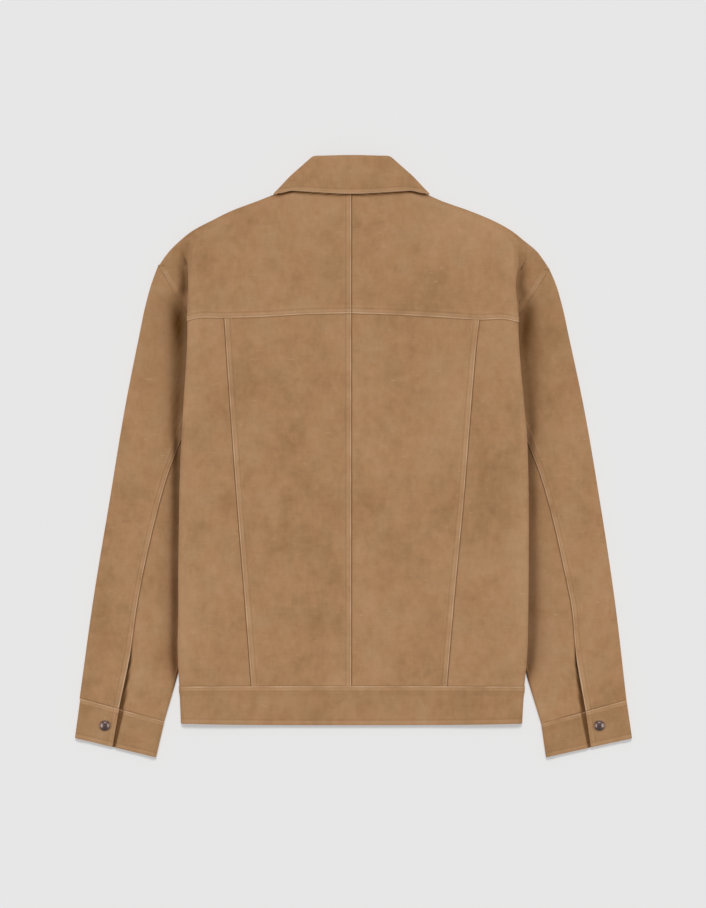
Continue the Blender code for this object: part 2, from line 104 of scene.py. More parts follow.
# ---- The camera ----------------------------------------------
# It looks straight down from four metres, so that nothing leans outwards. The view's height is
# measured at the level of the jacket's back.

CAMERA_HEIGHT = 4.0
VIEW_HEIGHT = 1.135
VIEW_CENTRE = (-0.0002, 0.0020)
SENSOR = 36.0
BACK_HEIGHT = 0.01

bpy.ops.object.camera_add(location=(*VIEW_CENTRE, CAMERA_HEIGHT), rotation=(0, 0, 0))
camera = bpy.context.object
camera.data.sensor_width = SENSOR
camera.data.lens = SENSOR * (CAMERA_HEIGHT - BACK_HEIGHT) / VIEW_HEIGHT
bpy.context.scene.camera = camera
bpy.context.scene.view_settings.view_transform = "Standard"


# ---- The suede -----------------------------------------------
# Tan split suede, 1.2 mm thick. Its nap lies a little differently from place to place, which mottles it
# in olive and pinkish tan, with fine streaks. Painted highlights make it paler along its raised edges,
# and painted shade makes it darker in its seams, hollows and recesses.

OLIVE_TAN = (0.357, 0.2035, 0.0985, 1)
PINK_TAN = (0.371, 0.2015, 0.0975, 1)
# The next two colours tint the nap's random paler and darker patches, and also serve for its painted
# highlights and painted shade.
PALE_TAN_AND_HIGHLIGHT = (0.600, 0.400, 0.255, 1)
DARK_TAN_AND_SHADE = (0.076, 0.026, 0.000, 1)
SHEEN_TINT = (0.90, 0.72, 0.52, 1)


def add(tree, kind, **settings):
    """Adds a node with these properties."""
    node = tree.nodes.new(kind)
    for name, value in settings.items():
        setattr(node, name, value)
    return node


def join(tree, source, node, socket):
    tree.links.new(source, node.inputs[socket])


def sum_of(tree, operation, first, second, clamp=False):
    """A Math node on two values, each a socket or a number."""
    node = add(tree, "ShaderNodeMath", operation=operation, use_clamp=clamp)
    for index, value in enumerate((first, second)):
        if isinstance(value, (int, float)):
            node.inputs[index].default_value = value
        else:
            join(tree, value, node, index)
    return node.outputs[0]


def blend(tree, share, first, second):
    """A colour part of the way from the first to the second."""
    node = add(tree, "ShaderNodeMix", data_type="RGBA")
    if isinstance(share, (int, float)):
        node.inputs[0].default_value = share
    else:
        join(tree, share, node, 0)
    for index, value in ((6, first), (7, second)):
        if isinstance(value, tuple):
            node.inputs[index].default_value = value
        else:
            join(tree, value, node, index)
    return node.outputs[2]


def patches(tree, place, scale, detail=2.0, stretch=(1, 1, 1), roughness=0.5):
    """Noise whose patches are about 1/scale metres wide, drawn out where `stretch` is under 1."""
    mapping = add(tree, "ShaderNodeMapping")
    mapping.inputs["Scale"].default_value = stretch
    join(tree, place, mapping, "Vector")
    noise = add(tree, "ShaderNodeTexNoise")
    noise.inputs["Scale"].default_value = scale
    noise.inputs["Detail"].default_value = detail
    noise.inputs["Roughness"].default_value = roughness
    join(tree, mapping.outputs[0], noise, "Vector")
    return noise.outputs[0]


def between(tree, value, low, high):
    """0 below `low`, 1 above `high`, and smooth between."""
    node = add(tree, "ShaderNodeMapRange", interpolation_type="SMOOTHSTEP")
    join(tree, value, node, "Value")
    node.inputs["From Min"].default_value = low
    node.inputs["From Max"].default_value = high
    return node.outputs[0]


nap = bpy.data.node_groups.new("suede nap", "ShaderNodeTree")
nap.interface.new_socket("Place", in_out="INPUT", socket_type="NodeSocketVector")
nap.interface.new_socket("Painted light and tone", in_out="INPUT", socket_type="NodeSocketFloat")
nap.interface.new_socket("Colour", in_out="OUTPUT", socket_type="NodeSocketColor")
nap.interface.new_socket("Height", in_out="OUTPUT", socket_type="NodeSocketFloat")
given = add(nap, "NodeGroupInput")
place = given.outputs["Place"]
mottle = between(nap, patches(nap, place, 30, 4, (1, 0.8, 1), 0.6), 0.36, 0.64)
hide = blend(nap, mottle, OLIVE_TAN, PINK_TAN)
# Uneven tone: how many patches to the metre, how they are drawn out, and how strong they are.
tone = 0
for scale, stretch, depth in (
    (7, (1, 0.8, 1), 0.70),
    (24, (1, 0.7, 1), 0.58),
    (75, (1, 0.8, 1), 0.58),
    (190, (1, 0.6, 1), 0.34),
    (700, (1, 0.8, 1), 0.18),
    (420, (1, 0.2, 1), 0.10),
    (300, (0.22, 1, 1), 0.20),
):
    noise = sum_of(nap, "SUBTRACT", patches(nap, place, scale, 2, stretch), 0.5)
    tone = sum_of(nap, "ADD", sum_of(nap, "MULTIPLY", noise, depth), tone)
spots = patches(nap, place, 130, 3, (1, 0.75, 1), 0.6)
hide = blend(nap, sum_of(nap, "MULTIPLY", tone, 0.56, clamp=True), hide, PALE_TAN_AND_HIGHLIGHT)
hide = blend(nap, sum_of(nap, "MULTIPLY", tone, -0.74, clamp=True), hide, DARK_TAN_AND_SHADE)
marks = between(nap, patches(nap, place, 330, 1, (0.22, 1, 1)), 0.70, 0.83)
hide = blend(nap, sum_of(nap, "MULTIPLY", marks, 0.24), hide, PALE_TAN_AND_HIGHLIGHT)
# Painted light and tone from each piece's point attribute: above 0 it paints highlights, below 0 it paints
# shade, and it darkens the waistband and cuffs a little all over.
painted_light_and_tone = given.outputs["Painted light and tone"]
painted_highlight = sum_of(nap, "MAXIMUM", painted_light_and_tone, 0)
painted_shade = sum_of(nap, "MAXIMUM", sum_of(nap, "MULTIPLY", painted_light_and_tone, -1), 0)
hide = blend(nap, painted_highlight, hide, PALE_TAN_AND_HIGHLIGHT)
hide = blend(nap, painted_shade, hide, DARK_TAN_AND_SHADE)
fibres = patches(nap, place, 1700, 3, (1, 0.5, 1), 0.7)
result = add(nap, "NodeGroupOutput")
join(nap, hide, result, "Colour")
join(nap, sum_of(nap, "ADD", fibres, sum_of(nap, "MULTIPLY", spots, 0.8)), result, "Height")


def suede(piece, cut):
    """Suede for one piece. `cut` is how far away on the hide it was cut, so its mottling is its own."""
    material = bpy.data.materials.new(f"suede {piece.name}")
    material.use_nodes = True
    tree = material.node_tree
    shader = tree.nodes["Principled BSDF"]
    shader.inputs["Roughness"].default_value = 0.95
    shader.inputs["Specular IOR Level"].default_value = 0.10
    shader.inputs["Sheen Weight"].default_value = 0.10
    shader.inputs["Sheen Roughness"].default_value = 0.45
    shader.inputs["Sheen Tint"].default_value = SHEEN_TINT
    here = add(tree, "ShaderNodeTexCoord")
    shift = add(tree, "ShaderNodeMapping")
    shift.inputs["Location"].default_value = (0.37 * cut, 0.61 * cut, 0.23 * cut)
    join(tree, here.outputs["Object"], shift, "Vector")
    # The piece's painted light and tone, read from its point attribute.
    light_and_tone_attribute = add(tree, "ShaderNodeAttribute", attribute_name="painted_light_and_tone")
    surface = add(tree, "ShaderNodeGroup", node_tree=nap)
    join(tree, shift.outputs[0], surface, "Place")
    join(tree, light_and_tone_attribute.outputs["Fac"], surface, "Painted light and tone")
    join(tree, surface.outputs["Colour"], shader, "Base Color")
    bump = add(tree, "ShaderNodeBump")
    bump.inputs["Strength"].default_value = 0.45
    bump.inputs["Distance"].default_value = 0.0006
    join(tree, surface.outputs["Height"], bump, "Height")
    join(tree, bump.outputs[0], shader, "Normal")
    piece.data.materials.clear()
    piece.data.materials.append(material)


# ---- The centre back -----------------------------------------
# Two long panels of single suede, joined by a seam up the middle and to the side backs on their
# outer edges. The left lies over the right, and both lie over the side backs, topstitched in two rows.

MM = 0.001
SIDES = {"left": -1, "right": 1}
PLY = 1.2
SEAM = 0.3
FOLD = 5.0
WAIST_SEAM = -288.0
YOKE_SEAM_SIDE = 167.4


def table(names, *rows):
    """A short table, as one array for each named column."""
    return {name: np.array(column, float) for name, column in zip(names.split(), zip(*rows))}


def read(chart, column, at):
    """The column's value where the table's first column is `at`, on a smooth line through its rows."""
    keys = next(iter(chart.values()))
    values = chart[column]
    slopes = np.gradient(values, keys)
    at = np.clip(at, keys[0], keys[-1])
    i = np.clip(np.searchsorted(keys, at, side="right") - 1, 0, len(keys) - 2)
    step = keys[i + 1] - keys[i]
    t = (at - keys[i]) / step
    near = values[i] * (1 + 2 * t) + step * slopes[i] * t
    far = values[i + 1] * (3 - 2 * t) - step * slopes[i + 1] * (1 - t)
    return near * (1 - t) ** 2 + far * t**2


def ease(t):
    """A soft step from 0 to 1."""
    t = np.clip(t, 0, 1)
    return t * t * (3 - 2 * t)


def bell(t):
    return np.exp(-(t**2))


BODY_SIDE = table(
    "y left right",
    (-337, 213.4, 213.4), (-289, 215.4, 216.3), (-240, 217.2, 219.9), (-200, 216.4, 220.8),
    (-150, 216.4, 221.3), (-80, 215.5, 221.4), (-10, 213.9, 220.6), (30, 211.8, 218.9),
    (70, 209.6, 215.3), (110, 206.9, 211.6), (150, 205.1, 208.9), (180, 205.0, 208.0),
    (209, 203.9, 205.5), (246, 204.1, 207.4), (263, 201.4, 206.9),
)
SHOULDER = table(
    "y left right",
    (232, 244.4, 248.6), (244, 236.9, 240.8), (257, 226.9, 230.6), (269, 214.6, 216.0),
    (282, 198.0, 199.4), (294, 175.2, 177.5), (307, 148.6, 146.0), (319, 116.5, 112.0),
    (331, 86.0, 86.0),
)
SIDE_BACK_SEAM = table(
    "y left right",
    (-288, 125.4, 119.6), (-183, 133.4, 128.5), (-57, 143.4, 140.4), (87, 153.6, 151.8),
    (139, 157.1, 156.3), (171, 159.0, 160.2),
)
YOKE_SEAM = table(
    "out left right",
    (0, 177.5, 177.5), (60, 176.0, 175.4), (118, 172.6, 171.9), (160, 171.2, 169.0),
    (194, 170.6, 169.2), (206, 167.4, 166.5),
)
# The height of the folded side's lower face, which climbs from the surface on to the sleeve.
BODY_LOW = table(
    "y low",
    (-337, 0.8), (-300, 1.6), (-280, 3.8), (-268, 6.5), (-255, 8.4), (-245, 8.6), (-200, 8.5),
    (180, 8.5), (212, 8.1), (238, 6.4), (263, 3.4), (294, 1.0), (320, 0.4), (345, 0.4),
)
BACK_MIDDLE = table(
    "y top",
    (-337, 7.8), (-280, 7.5), (-230, 6.2), (0, 6.4), (170, 7.0), (250, 8.2), (300, 9.4), (345, 10.6),
)
# Soft troughs (below 0) and ridges over the back: where, how long and wide, their turn from upright, depth.
BACK_CREASES = table(
    "x y long wide turn depth",
    (-112, -214, 60, 9, 14, -0.9), (-96, -150, 75, 13, 10, 0.7), (-118, 40, 70, 10, -6, -0.7),
    (-60, -258, 40, 10, 55, -0.6), (-26, 88, 90, 16, 8, 0.6), (38, -30, 110, 18, -10, -0.6),
    (84, -236, 55, 9, -24, -0.9), (101, -118, 80, 12, -9, 0.7), (122, 92, 60, 11, 5, -0.7),
    (176, -60, 90, 12, -4, -0.8), (-178, -96, 85, 12, 5, -0.8), (-184, 96, 60, 9, -8, 0.7),
    (186, 118, 55, 10, 7, 0.6), (-80, 232, 50, 17, -62, -0.7), (70, 246, 55, 18, 58, -0.7),
    (-140, 214, 45, 14, -38, 0.8), (146, 208, 45, 14, 36, 0.8),
)


def creased(chart, x, y):
    """The height that the listed creases add at a place."""
    height = np.zeros(np.broadcast(x, y).shape)
    for i in range(len(chart["x"])):
        crease = {name: column[i] for name, column in chart.items()}
        turn = np.radians(crease["turn"])
        along = (x - crease["x"]) * np.sin(turn) + (y - crease["y"]) * np.cos(turn)
        aside = (x - crease["x"]) * np.cos(turn) - (y - crease["y"]) * np.sin(turn)
        aside = aside + 0.12 * crease["long"] * (along / crease["long"]) ** 2
        height += crease["depth"] * bell(along / crease["long"]) * bell(aside / crease["wide"])
    return height


def side_edge(side, y):
    """The body's folded side, which runs on up inside the shoulder line."""
    return np.minimum(read(BODY_SIDE, side, y), read(SHOULDER, side, y) - 14)


def back_top(side, out, y):
    """The height of the back's outer face: low at the centre, high where it lies over the sleeves."""
    crest = side_edge(side, y) - FOLD
    middle = read(BACK_MIDDLE, "top", y)
    high = read(BODY_LOW, "low", y) + 2 * FOLD
    height = middle + (high - middle) * ease((out / crest - 0.35) / 0.65)
    return height + creased(BACK_CREASES, SIDES[side] * out, y) * ease((crest - out) / 14)


# Where a sheet's points lie by a seam, counted from the seam: at a lapped one and at a plain one.
LAPPED = (0, 0.25, 0.5, 0.8, 1.2, 1.6, 2.0, 2.4, 2.8, 3.3, 4.2, 5.2, 6.0, 6.6, 7.1, 7.6, 8.2, 9.2, 10.6, 13)
PLAIN = (-0.27, 0.05, 0.35, 0.7, 1.1, 1.6, 2.4, 3.7, 6)
TUCKED = (-0.95, -0.55) + PLAIN
STITCH_ROWS = (2.4, 7.1)
ALLOWANCE = 8.2


def spread(near, count, far):
    """Places along a line of any length, close together by its ends: millimetres, and a share of it."""
    t = np.linspace(0, 1, count + 2)[1:-1]
    fixed = np.concatenate([near, near[-1] * (1 - t) - far[-1] * t, -np.array(far)[::-1]])
    share = np.concatenate([np.zeros(len(near)), t, np.ones(len(far))])
    return fixed, share


def lapped(d, along, crease=1.0):
    """A turned edge, `d` from the seam: how it stands up over its allowance, and its painted light.

    It rolls down into the seam, is pressed down along both rows of stitches, and puckers between them.
    A painted highlight pales its raised edge, and painted shade darkens the seam line and its outer row.
    """
    raised = ease((d + 0.5) / 0.9) * (1 - ease((d - ALLOWANCE) / 2.6))
    pale = 1.3 - 0.3 * crease
    pucker = np.sin(along / 1.9 + 2.3 * np.sin(along / 17)) * (0.6 + 0.4 * np.sin(along / 31 + 1))
    press = bell((d - STITCH_ROWS[0]) / 0.6) + 0.8 * bell((d - STITCH_ROWS[1]) / 0.6)
    height = 0.70 * raised - 0.26 * press + 0.07 * pucker * raised - 0.40 * crease * bell(d / 0.25)
    wander = 0.68 + 0.32 * np.sin(along / 37 + 0.8) * np.sin(along / 11) + 0.16 * np.sin(along / 5.3)
    painted_light_and_tone = 0.60 * wander * bell((d - 1.0) / 0.7) + 0.19 * wander * bell((d - 3.8) / 2.4)
    painted_light_and_tone = pale * painted_light_and_tone + 0.06 * wander * bell((d - 9.0) / 1.2) - 0.12 * bell((d - 6.9) / 0.8)
    return height, painted_light_and_tone - 0.20 * crease * bell(d / 0.2)


def pressed(d, crease=1.0):
    """A plain edge, `d` from a seam where its neighbour laps over it, with painted shade along the seam."""
    height = -0.55 * crease * bell(d / 0.4) - 0.10 * bell(d / 3) - 0.85 * ease((-0.2 - d) / 0.5)
    return height, -0.34 * crease * bell((d + 0.1) / 0.35) - 0.03 * crease * bell(d / 2.6)


def together(*reliefs):
    """The height and the painted light of several edges at once."""
    return [sum(parts) for parts in zip(*reliefs)]


def outward_normals(points):
    """The direction off the outer face at each of a grid of points."""
    across = np.gradient(points, axis=1)
    up = np.gradient(points, axis=0)
    normal = np.cross(across, up)
    return normal / np.maximum(np.linalg.norm(normal, axis=2, keepdims=True), 1e-9)


# The back's lower inner corner gives the place of the jacket's centre seam and of its waist seam.
inner_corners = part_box("back_left")[1].x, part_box("back_right")[0].x
centre_x = sum(inner_corners) / 2
centre_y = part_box("back_left")[0].y - (WAIST_SEAM + SEAM / 2) * MM
STITCH_GAP = 3.3
STITCH_SIZE = (1.25, 0.30, 0.22)
THREAD_TAN = (0.370, 0.218, 0.112, 1)
THREAD_DARK = (0.27, 0.148, 0.070, 1)

thread = bpy.data.materials.new("tan thread")
thread.use_nodes = True
thread_tree = thread.node_tree
thread_shader = thread_tree.nodes["Principled BSDF"]
thread_shader.inputs["Roughness"].default_value = 0.7
thread_here = add(thread_tree, "ShaderNodeTexCoord")
thread_wear = patches(thread_tree, thread_here.outputs["Object"], 500, 2)
thread_colour = blend(thread_tree, thread_wear, THREAD_TAN, THREAD_DARK)
join(thread_tree, thread_colour, thread_shader, "Base Color")


def sew(name, lines):
    """Rows of stitches along lines of points, in metres: one is modelled, and the rest are its copies."""
    bpy.ops.object.select_all(action="DESELECT")
    bpy.ops.mesh.primitive_uv_sphere_add(segments=6, ring_count=4, radius=MM)
    first = bpy.context.object
    first.scale = STITCH_SIZE
    bpy.ops.object.transform_apply(location=True, rotation=True, scale=True)
    bpy.ops.object.shade_smooth()
    for line in lines:
        run = np.concatenate([[0], np.cumsum(np.linalg.norm(np.diff(line, axis=0), axis=1))])
        middles = np.arange(STITCH_GAP * 0.6, run[-1] / MM - STITCH_GAP * 0.5, STITCH_GAP) * MM
        for middle in middles:
            near, at, far = (
                np.array([np.interp(middle + step * MM, run, line[:, axis]) for axis in range(3)])
                for step in (-1, 0, 1)
            )
            stitch = first.copy()
            stitch.data = first.data.copy()
            turn = Vector(far - near).to_track_quat("X", "Z").to_matrix().to_4x4()
            stitch.data.transform(Matrix.Translation(at) @ turn)
            bpy.context.collection.objects.link(stitch)
            stitch.select_set(True)
    bpy.context.view_layer.objects.active = stitch
    first.select_set(False)
    bpy.ops.object.join()
    bpy.data.objects.remove(first)
    sewn = bpy.context.object
    sewn.name = f"stitches_{name}"
    sewn.data.materials.clear()
    sewn.data.materials.append(thread)
    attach(sewn, "root")
    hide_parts(name)
    return sewn


def lay(name, side, points, height, painted_light_and_tone, thickness, rests_on, cut, rows_sewn=()):
    """A cut piece of suede: a grid laid on its form, raised at its seams, and given its thickness.

    Stitches are sewn along the given rows and columns of the grid.
    """
    formed = points + outward_normals(points) * np.asarray(height)[..., None]
    placed = formed * (SIDES.get(side, 1), 1, 1) * MM + (centre_x, centre_y, 0)
    placed[..., 2] = np.maximum(placed[..., 2], 0.0)
    lines = [placed[line] for line in rows_sewn]
    if side:
        placed = placed[:, :: SIDES[side]]
        painted_light_and_tone = painted_light_and_tone[:, :: SIDES[side]]
    rows, columns = placed.shape[:2]
    bpy.ops.object.select_all(action="DESELECT")
    bpy.ops.mesh.primitive_grid_add(x_subdivisions=columns - 1, y_subdivisions=rows - 1, size=2)
    piece = bpy.context.object
    piece.name = f"suede_{name}"
    mesh = piece.data
    mesh.vertices.foreach_set("co", placed.ravel())
    # Each point keeps its painted light and tone, which the nap shader turns into painted highlights and
    # shade.
    mesh.attributes.new("painted_light_and_tone", "FLOAT", "POINT").data.foreach_set("value", np.asarray(painted_light_and_tone).ravel())
    mesh.update()
    bpy.ops.object.modifier_add(type="SOLIDIFY")
    wall = piece.modifiers[-1]
    wall.thickness = thickness * MM
    wall.offset = -1
    bpy.ops.object.modifier_apply(modifier=wall.name)
    bpy.ops.object.shade_smooth_by_angle(angle=np.radians(50))
    suede(piece, cut)
    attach(piece, "root")
    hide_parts(name)
    stitching = [sew(name, lines)] if lines else []
    return piece


def back_panel(side):
    """The centre back's points, how they are raised, and their painted light."""
    at_centre = LAPPED if side == "left" else TUCKED
    fixed, share = spread(at_centre, 24, LAPPED)
    up_fixed, up_share = spread(PLAIN, 100, PLAIN)
    base = WAIST_SEAM + SEAM / 2
    level = base + up_fixed + up_share * (YOKE_SEAM_SIDE - base)
    rough_out = fixed + share * (read(SIDE_BACK_SEAM, side, level)[:, None] - SEAM)
    top = read(YOKE_SEAM, side, rough_out[-1]) - SEAM / 2
    y = base + up_fixed[:, None] + up_share[:, None] * (top - base)
    width = read(SIDE_BACK_SEAM, side, y) - SEAM
    from_centre = fixed + share * width
    out = SEAM / 2 + from_centre
    points = np.stack([out, y, back_top(side, out, y)], axis=2)
    centre = lapped(from_centre, y) if side == "left" else pressed(from_centre)
    outer = lapped(width - from_centre, y + 7)
    waist = pressed(y - base, 0.25)
    under_yoke = pressed(top - y, 0.6)
    return points, *together(centre, outer, waist, under_yoke)


# Which of a lapped edge's points are stitched, and the two stitched columns by a sheet's either edge.
NEAR, OFF = (LAPPED.index(row) for row in STITCH_ROWS)
BY_FIRST_COLUMN = (np.s_[:, NEAR], np.s_[:, OFF])
BY_LAST_COLUMN = (np.s_[:, -1 - NEAR], np.s_[:, -1 - OFF])

for side in SIDES:
    sewn = BY_LAST_COLUMN + (BY_FIRST_COLUMN if side == "left" else ())
    lay(f"back_{side}", side, *back_panel(side), PLY, [f"front_{side}"], 1 + SIDES[side] * 0.3, sewn)


# ---- The side backs ------------------------------------------
# A long panel on each side, which turns round the body's folded side and runs under it to the side
# seam. Up its middle it is lapped by the centre back, and it is folded over the sleeve.

UNDERARM = (139.4, 63.1)
SHOULDER_TIP = {"left": (241.9, 238.1), "right": (247.9, 233.1)}
SLEEVE_INNER = table(
    "y left right",
    (-336, 235.2, 237.5), (-276, 217.8, 219.2), (-181, 191.5, 192.0), (-56, 160.0, 160.0),
    (63, 139.4, 139.4),
)
# The side seam under the folded side: its height, and how far it lies inside the sleeve's inner edge.
SIDE_SEAM = table(
    "y inside low",
    (-337, 12.0, 0.3), (-300, 12.0, 0.8), (-268, 12.0, 3.4), (-225, 12.0, 4.6), (30, 12.0, 4.6),
    (48, 7.0, 4.5), (57, 3.5, 4.4), (63, 0.9, 4.3),
)


def armhole_out(side, y):
    """The armhole seam runs straight from the tip of the shoulder to the underarm."""
    out, top = SHOULDER_TIP[side]
    return UNDERARM[0] + (out - UNDERARM[0]) * (y - UNDERARM[1]) / (top - UNDERARM[1])


def side_seam_out(side, y):
    inside = read(SLEEVE_INNER, side, y) - read(SIDE_SEAM, "inside", y)
    return np.minimum(inside, read(BODY_SIDE, side, y) - FOLD - 4)


def arc(centre, radius, angles):
    """Points (across, up) round a circle, at angles in degrees from straight outwards."""
    turned = np.radians(angles)
    return np.stack([centre[0] + radius * np.cos(turned), centre[1] + radius * np.sin(turned)], axis=1)


def crest_highlight(side, points):
    """A painted highlight makes the body's folded side a little paler along its crest."""
    crest = side_edge(side, points[..., 1]) - FOLD
    return 0.07 * bell((points[..., 0] - crest + 3) / 9) * (points[..., 2] > FOLD)


def side_back_panel(side):
    """The side back's points, over the top, round the fold and under, with its relief and painted light."""
    fixed, share = spread(PLAIN, 14, (0, 1, 3))
    up_fixed, up_share = spread(PLAIN, 110, PLAIN)
    base = WAIST_SEAM + SEAM / 2
    levels = base + up_fixed + up_share * (YOKE_SEAM_SIDE - SEAM / 2 - base)
    bends = np.linspace(75, -90, 12)
    rows = []
    from_seam = []
    for level in levels:
        rise = (level - WAIST_SEAM) / (YOKE_SEAM_SIDE - WAIST_SEAM)
        seam = read(SIDE_BACK_SEAM, side, level) + SEAM / 2
        crest = read(BODY_SIDE, side, level) - FOLD
        low = read(BODY_LOW, "low", level)
        away = fixed + share * (crest - seam)
        out = seam + away
        y = level + rise * (read(YOKE_SEAM, side, out) - YOKE_SEAM_SIDE)
        top = np.stack([out, y, back_top(side, out, y)], axis=1)
        turn = arc((crest, low + FOLD), FOLD, bends)
        if level > UNDERARM[1] + 1:
            end, end_low = armhole_out(side, level) + SEAM, low
        else:
            end, end_low = side_seam_out(side, level) + SEAM, read(SIDE_SEAM, "low", level)
        inner = min(read(SLEEVE_INNER, side, level) + 4, crest - 1)
        under_out = np.linspace(crest - 0.8, end, 12)
        climb = np.clip((under_out - end) / max(inner - end, 1), 0, 1)
        under = np.stack([under_out, end_low + climb * (low - end_low)], axis=1)
        folded = np.concatenate([turn, under])
        reach = np.maximum.accumulate(folded[:, 0])
        folded_y = level + rise * (read(YOKE_SEAM, side, reach) - YOKE_SEAM_SIDE)
        folded = np.stack([folded[:, 0], folded_y, folded[:, 1]], axis=1)
        rows.append(np.concatenate([top, folded]))
        from_seam.append(np.concatenate([away, away[-1] + 6 + np.arange(len(folded))]))
    points = np.array(rows)
    from_seam = np.array(from_seam)
    level = levels[:, None] + 0 * from_seam
    waist = pressed(level - base, 0.25)
    under_yoke = pressed(YOKE_SEAM_SIDE - level, 0.6)
    height, painted_light_and_tone = together(pressed(from_seam), waist, under_yoke)
    hidden = ease((np.arange(points.shape[1]) - len(fixed) - 9) / 3)
    return points, height * (1 - hidden), painted_light_and_tone + crest_highlight(side, points)


for side in SIDES:
    lay(f"side_back_{side}", side, *side_back_panel(side), PLY, [f"sleeve_under_{side}"], 2.2 + SIDES[side])


# ---- The yoke ------------------------------------------------
# Two halves across the shoulders. Each is lapped over the back panels and the sleeve head, dips outside
# the body's folded side, and wraps over the shoulder line to its seam on the front.

SLEEVE_DIP = 1.8
ARMHOLE_GAP = SEAM * 1.6
# The armhole seam slants, so a level line crosses it over this much more than its width.
ARM_SLANT = 1.16
NECK_CENTRE = 338.0
NECK_SIDE = 330.0
SHOULDER_WRAP = 5.0
FOLD_TOP = {"left": 266.0, "right": 252.0}
OPEN_REACH = 16.0
# A distance that is past any edge's relief.
FAR = 60.0
# Below these levels the armhole seam's relief and painted highlight fade out, close to the fold that lies
# over it.
ARM_SEAM_END = {"left": 194.0, "right": 178.0}
SLEEVE_HEIGHT = 8.0
LEAF = 2.6
LEAF_TIP = (34.0, 231.0)
# The line along which the collar's lower edge rests, with a painted shadow below it: its level, how far its
# sides rise, its corners.
COLLAR_LEVEL = 326.2
COLLAR_LIFT = 4.0
COLLAR_CORNER = 91.0
COLLAR_HOOK = 3.4


def collar_room(out, y):
    """The front rises over the collar's front leaves, which lie under it."""
    out = np.abs(out)
    leaf_end = LEAF_TIP[1] - 20 + np.maximum(1.75 * (out - LEAF_TIP[0]), 1.3 * (LEAF_TIP[0] - out))
    return (LEAF + SEAM) * ease((y - leaf_end + 30) / 30)


# The hollow beside the body's folded side: where its floor ends, where it has risen again, how deep.
HOLLOW = {
    "left": table(
        "y floor top depth",
        (-310, 0, 10, 0.0), (-285, 0, 12, 1.6), (-262, 0, 12, 3.0), (-205, 0, 13, 3.4),
        (-55, 0, 14, 4.0), (7, 3, 12, 4.2), (69, 6, 21, 5.0), (132, 8, 27, 5.3), (170, 8, 26, 4.8),
        (187, 5, 22, 3.2), (201, 3, 17, 3.0), (216, 1, 15, 3.8), (245, 0, 16, 2.4), (266, 0, 14, 0.8),
        (285, 0, 14, 0.0),
    ),
    "right": table(
        "y floor top depth",
        (-310, 0, 10, 0.0), (-285, 0, 12, 1.6), (-262, 0, 14, 3.0), (-205, 1, 17, 3.2),
        (-55, 0, 15, 3.2), (7, 0, 13, 3.2), (69, 5, 21, 4.0), (132, 13, 31, 5.3), (170, 12, 27, 4.8),
        (187, 7, 24, 3.2), (201, 4, 19, 2.8), (216, 2, 17, 3.6), (245, 0, 17, 2.4), (266, 0, 14, 0.6),
        (285, 0, 14, 0.0),
    ),
}
# The painted shade in that hollow, which is as uneven as the fold: how far out it is darkest, how wide, how
# dark.
SHADE = {
    "left": table(
        "y mid wide dark",
        (-305, 5, 4.0, 0.00), (-285, 5, 4.0, 0.42), (-262, 4, 5.5, 0.64), (-230, 4, 4.0, 0.54),
        (-180, 4, 4.5, 0.62), (-130, 4, 5.0, 0.42), (-60, 4, 5.0, 0.60), (-30, 6, 4.5, 0.50),
        (7, 7, 4.0, 0.62), (40, 9, 6.0, 0.56), (70, 8, 7.0, 0.70), (130, 9, 11.0, 0.72),
        (150, 11, 9.5, 0.93), (170, 12, 9.5, 0.96), (182, 13, 9.5, 0.82), (195, 14, 13.0, 0.42),
        (210, 6, 6.0, 0.60), (225, 6, 6.0, 0.38), (240, 5, 8.0, 0.28), (255, 5, 8.0, 0.20),
        (272, 4, 6.0, 0.00),
    ),
    "right": table(
        "y mid wide dark",
        (-305, 3, 5.0, 0.00), (-285, 3, 5.0, 0.35), (-262, 4, 9.0, 0.54), (-230, 1, 11.0, 0.38),
        (-180, 3, 10.0, 0.38), (-130, 2, 9.0, 0.32), (-100, 2, 8.0, 0.28), (-60, 4, 7.0, 0.42),
        (-30, 1, 6.0, 0.38), (7, 3, 4.5, 0.44), (40, 6, 7.0, 0.36), (70, 6, 8.0, 0.42),
        (100, 9, 11.0, 0.42), (130, 7, 12.0, 0.66), (150, 8, 11.5, 0.84), (170, 12, 8.5, 0.82),
        (182, 14, 9.5, 0.68), (195, 16, 12.0, 0.36), (210, 5, 7.0, 0.42), (225, 5, 9.0, 0.38),
        (240, 2, 9.0, 0.28), (270, 2, 6.0, 0.00),
    ),
}


def hollow(side, out, y):
    """How deep the hollow beside the body is at a place. Under the body it soon rises to bear its weight."""
    away = out - read(BODY_SIDE, side, y)
    floor_end, top = read(HOLLOW[side], "floor", y), read(HOLLOW[side], "top", y)
    shape = (1 - ease((away - floor_end) / (top - floor_end))) * ease((away + 18) / 10)
    return read(HOLLOW[side], "depth", y) * shape


def shade(side, points):
    """How dark the painted shade in the hollow is at each of a grid of points."""
    out, y = points[..., 0], points[..., 1]
    away = out - read(BODY_SIDE, side, y)
    chart = SHADE[side]
    middle, wide = read(chart, "mid", y), read(chart, "wide", y)
    outer = 0.7 * bell((away - middle) / wide) + 0.3 * bell((away - middle) / (3.5 * wide))
    inner = 0.40 + 0.60 * ease((away + 1) / (middle + 1))
    return read(chart, "dark", y) * np.where(away < middle, inner, outer)


def fold_opening(side, y):
    """How closed the body's side fold is: 1 over the sleeve, 0 where it opens towards the shoulder."""
    return ease((FOLD_TOP[side] - y) / 44)


def sleeve_dip(c):
    """How far a flattened sleeve sinks at a distance from its edge."""
    return SLEEVE_DIP * ease((c - 3) / 24)


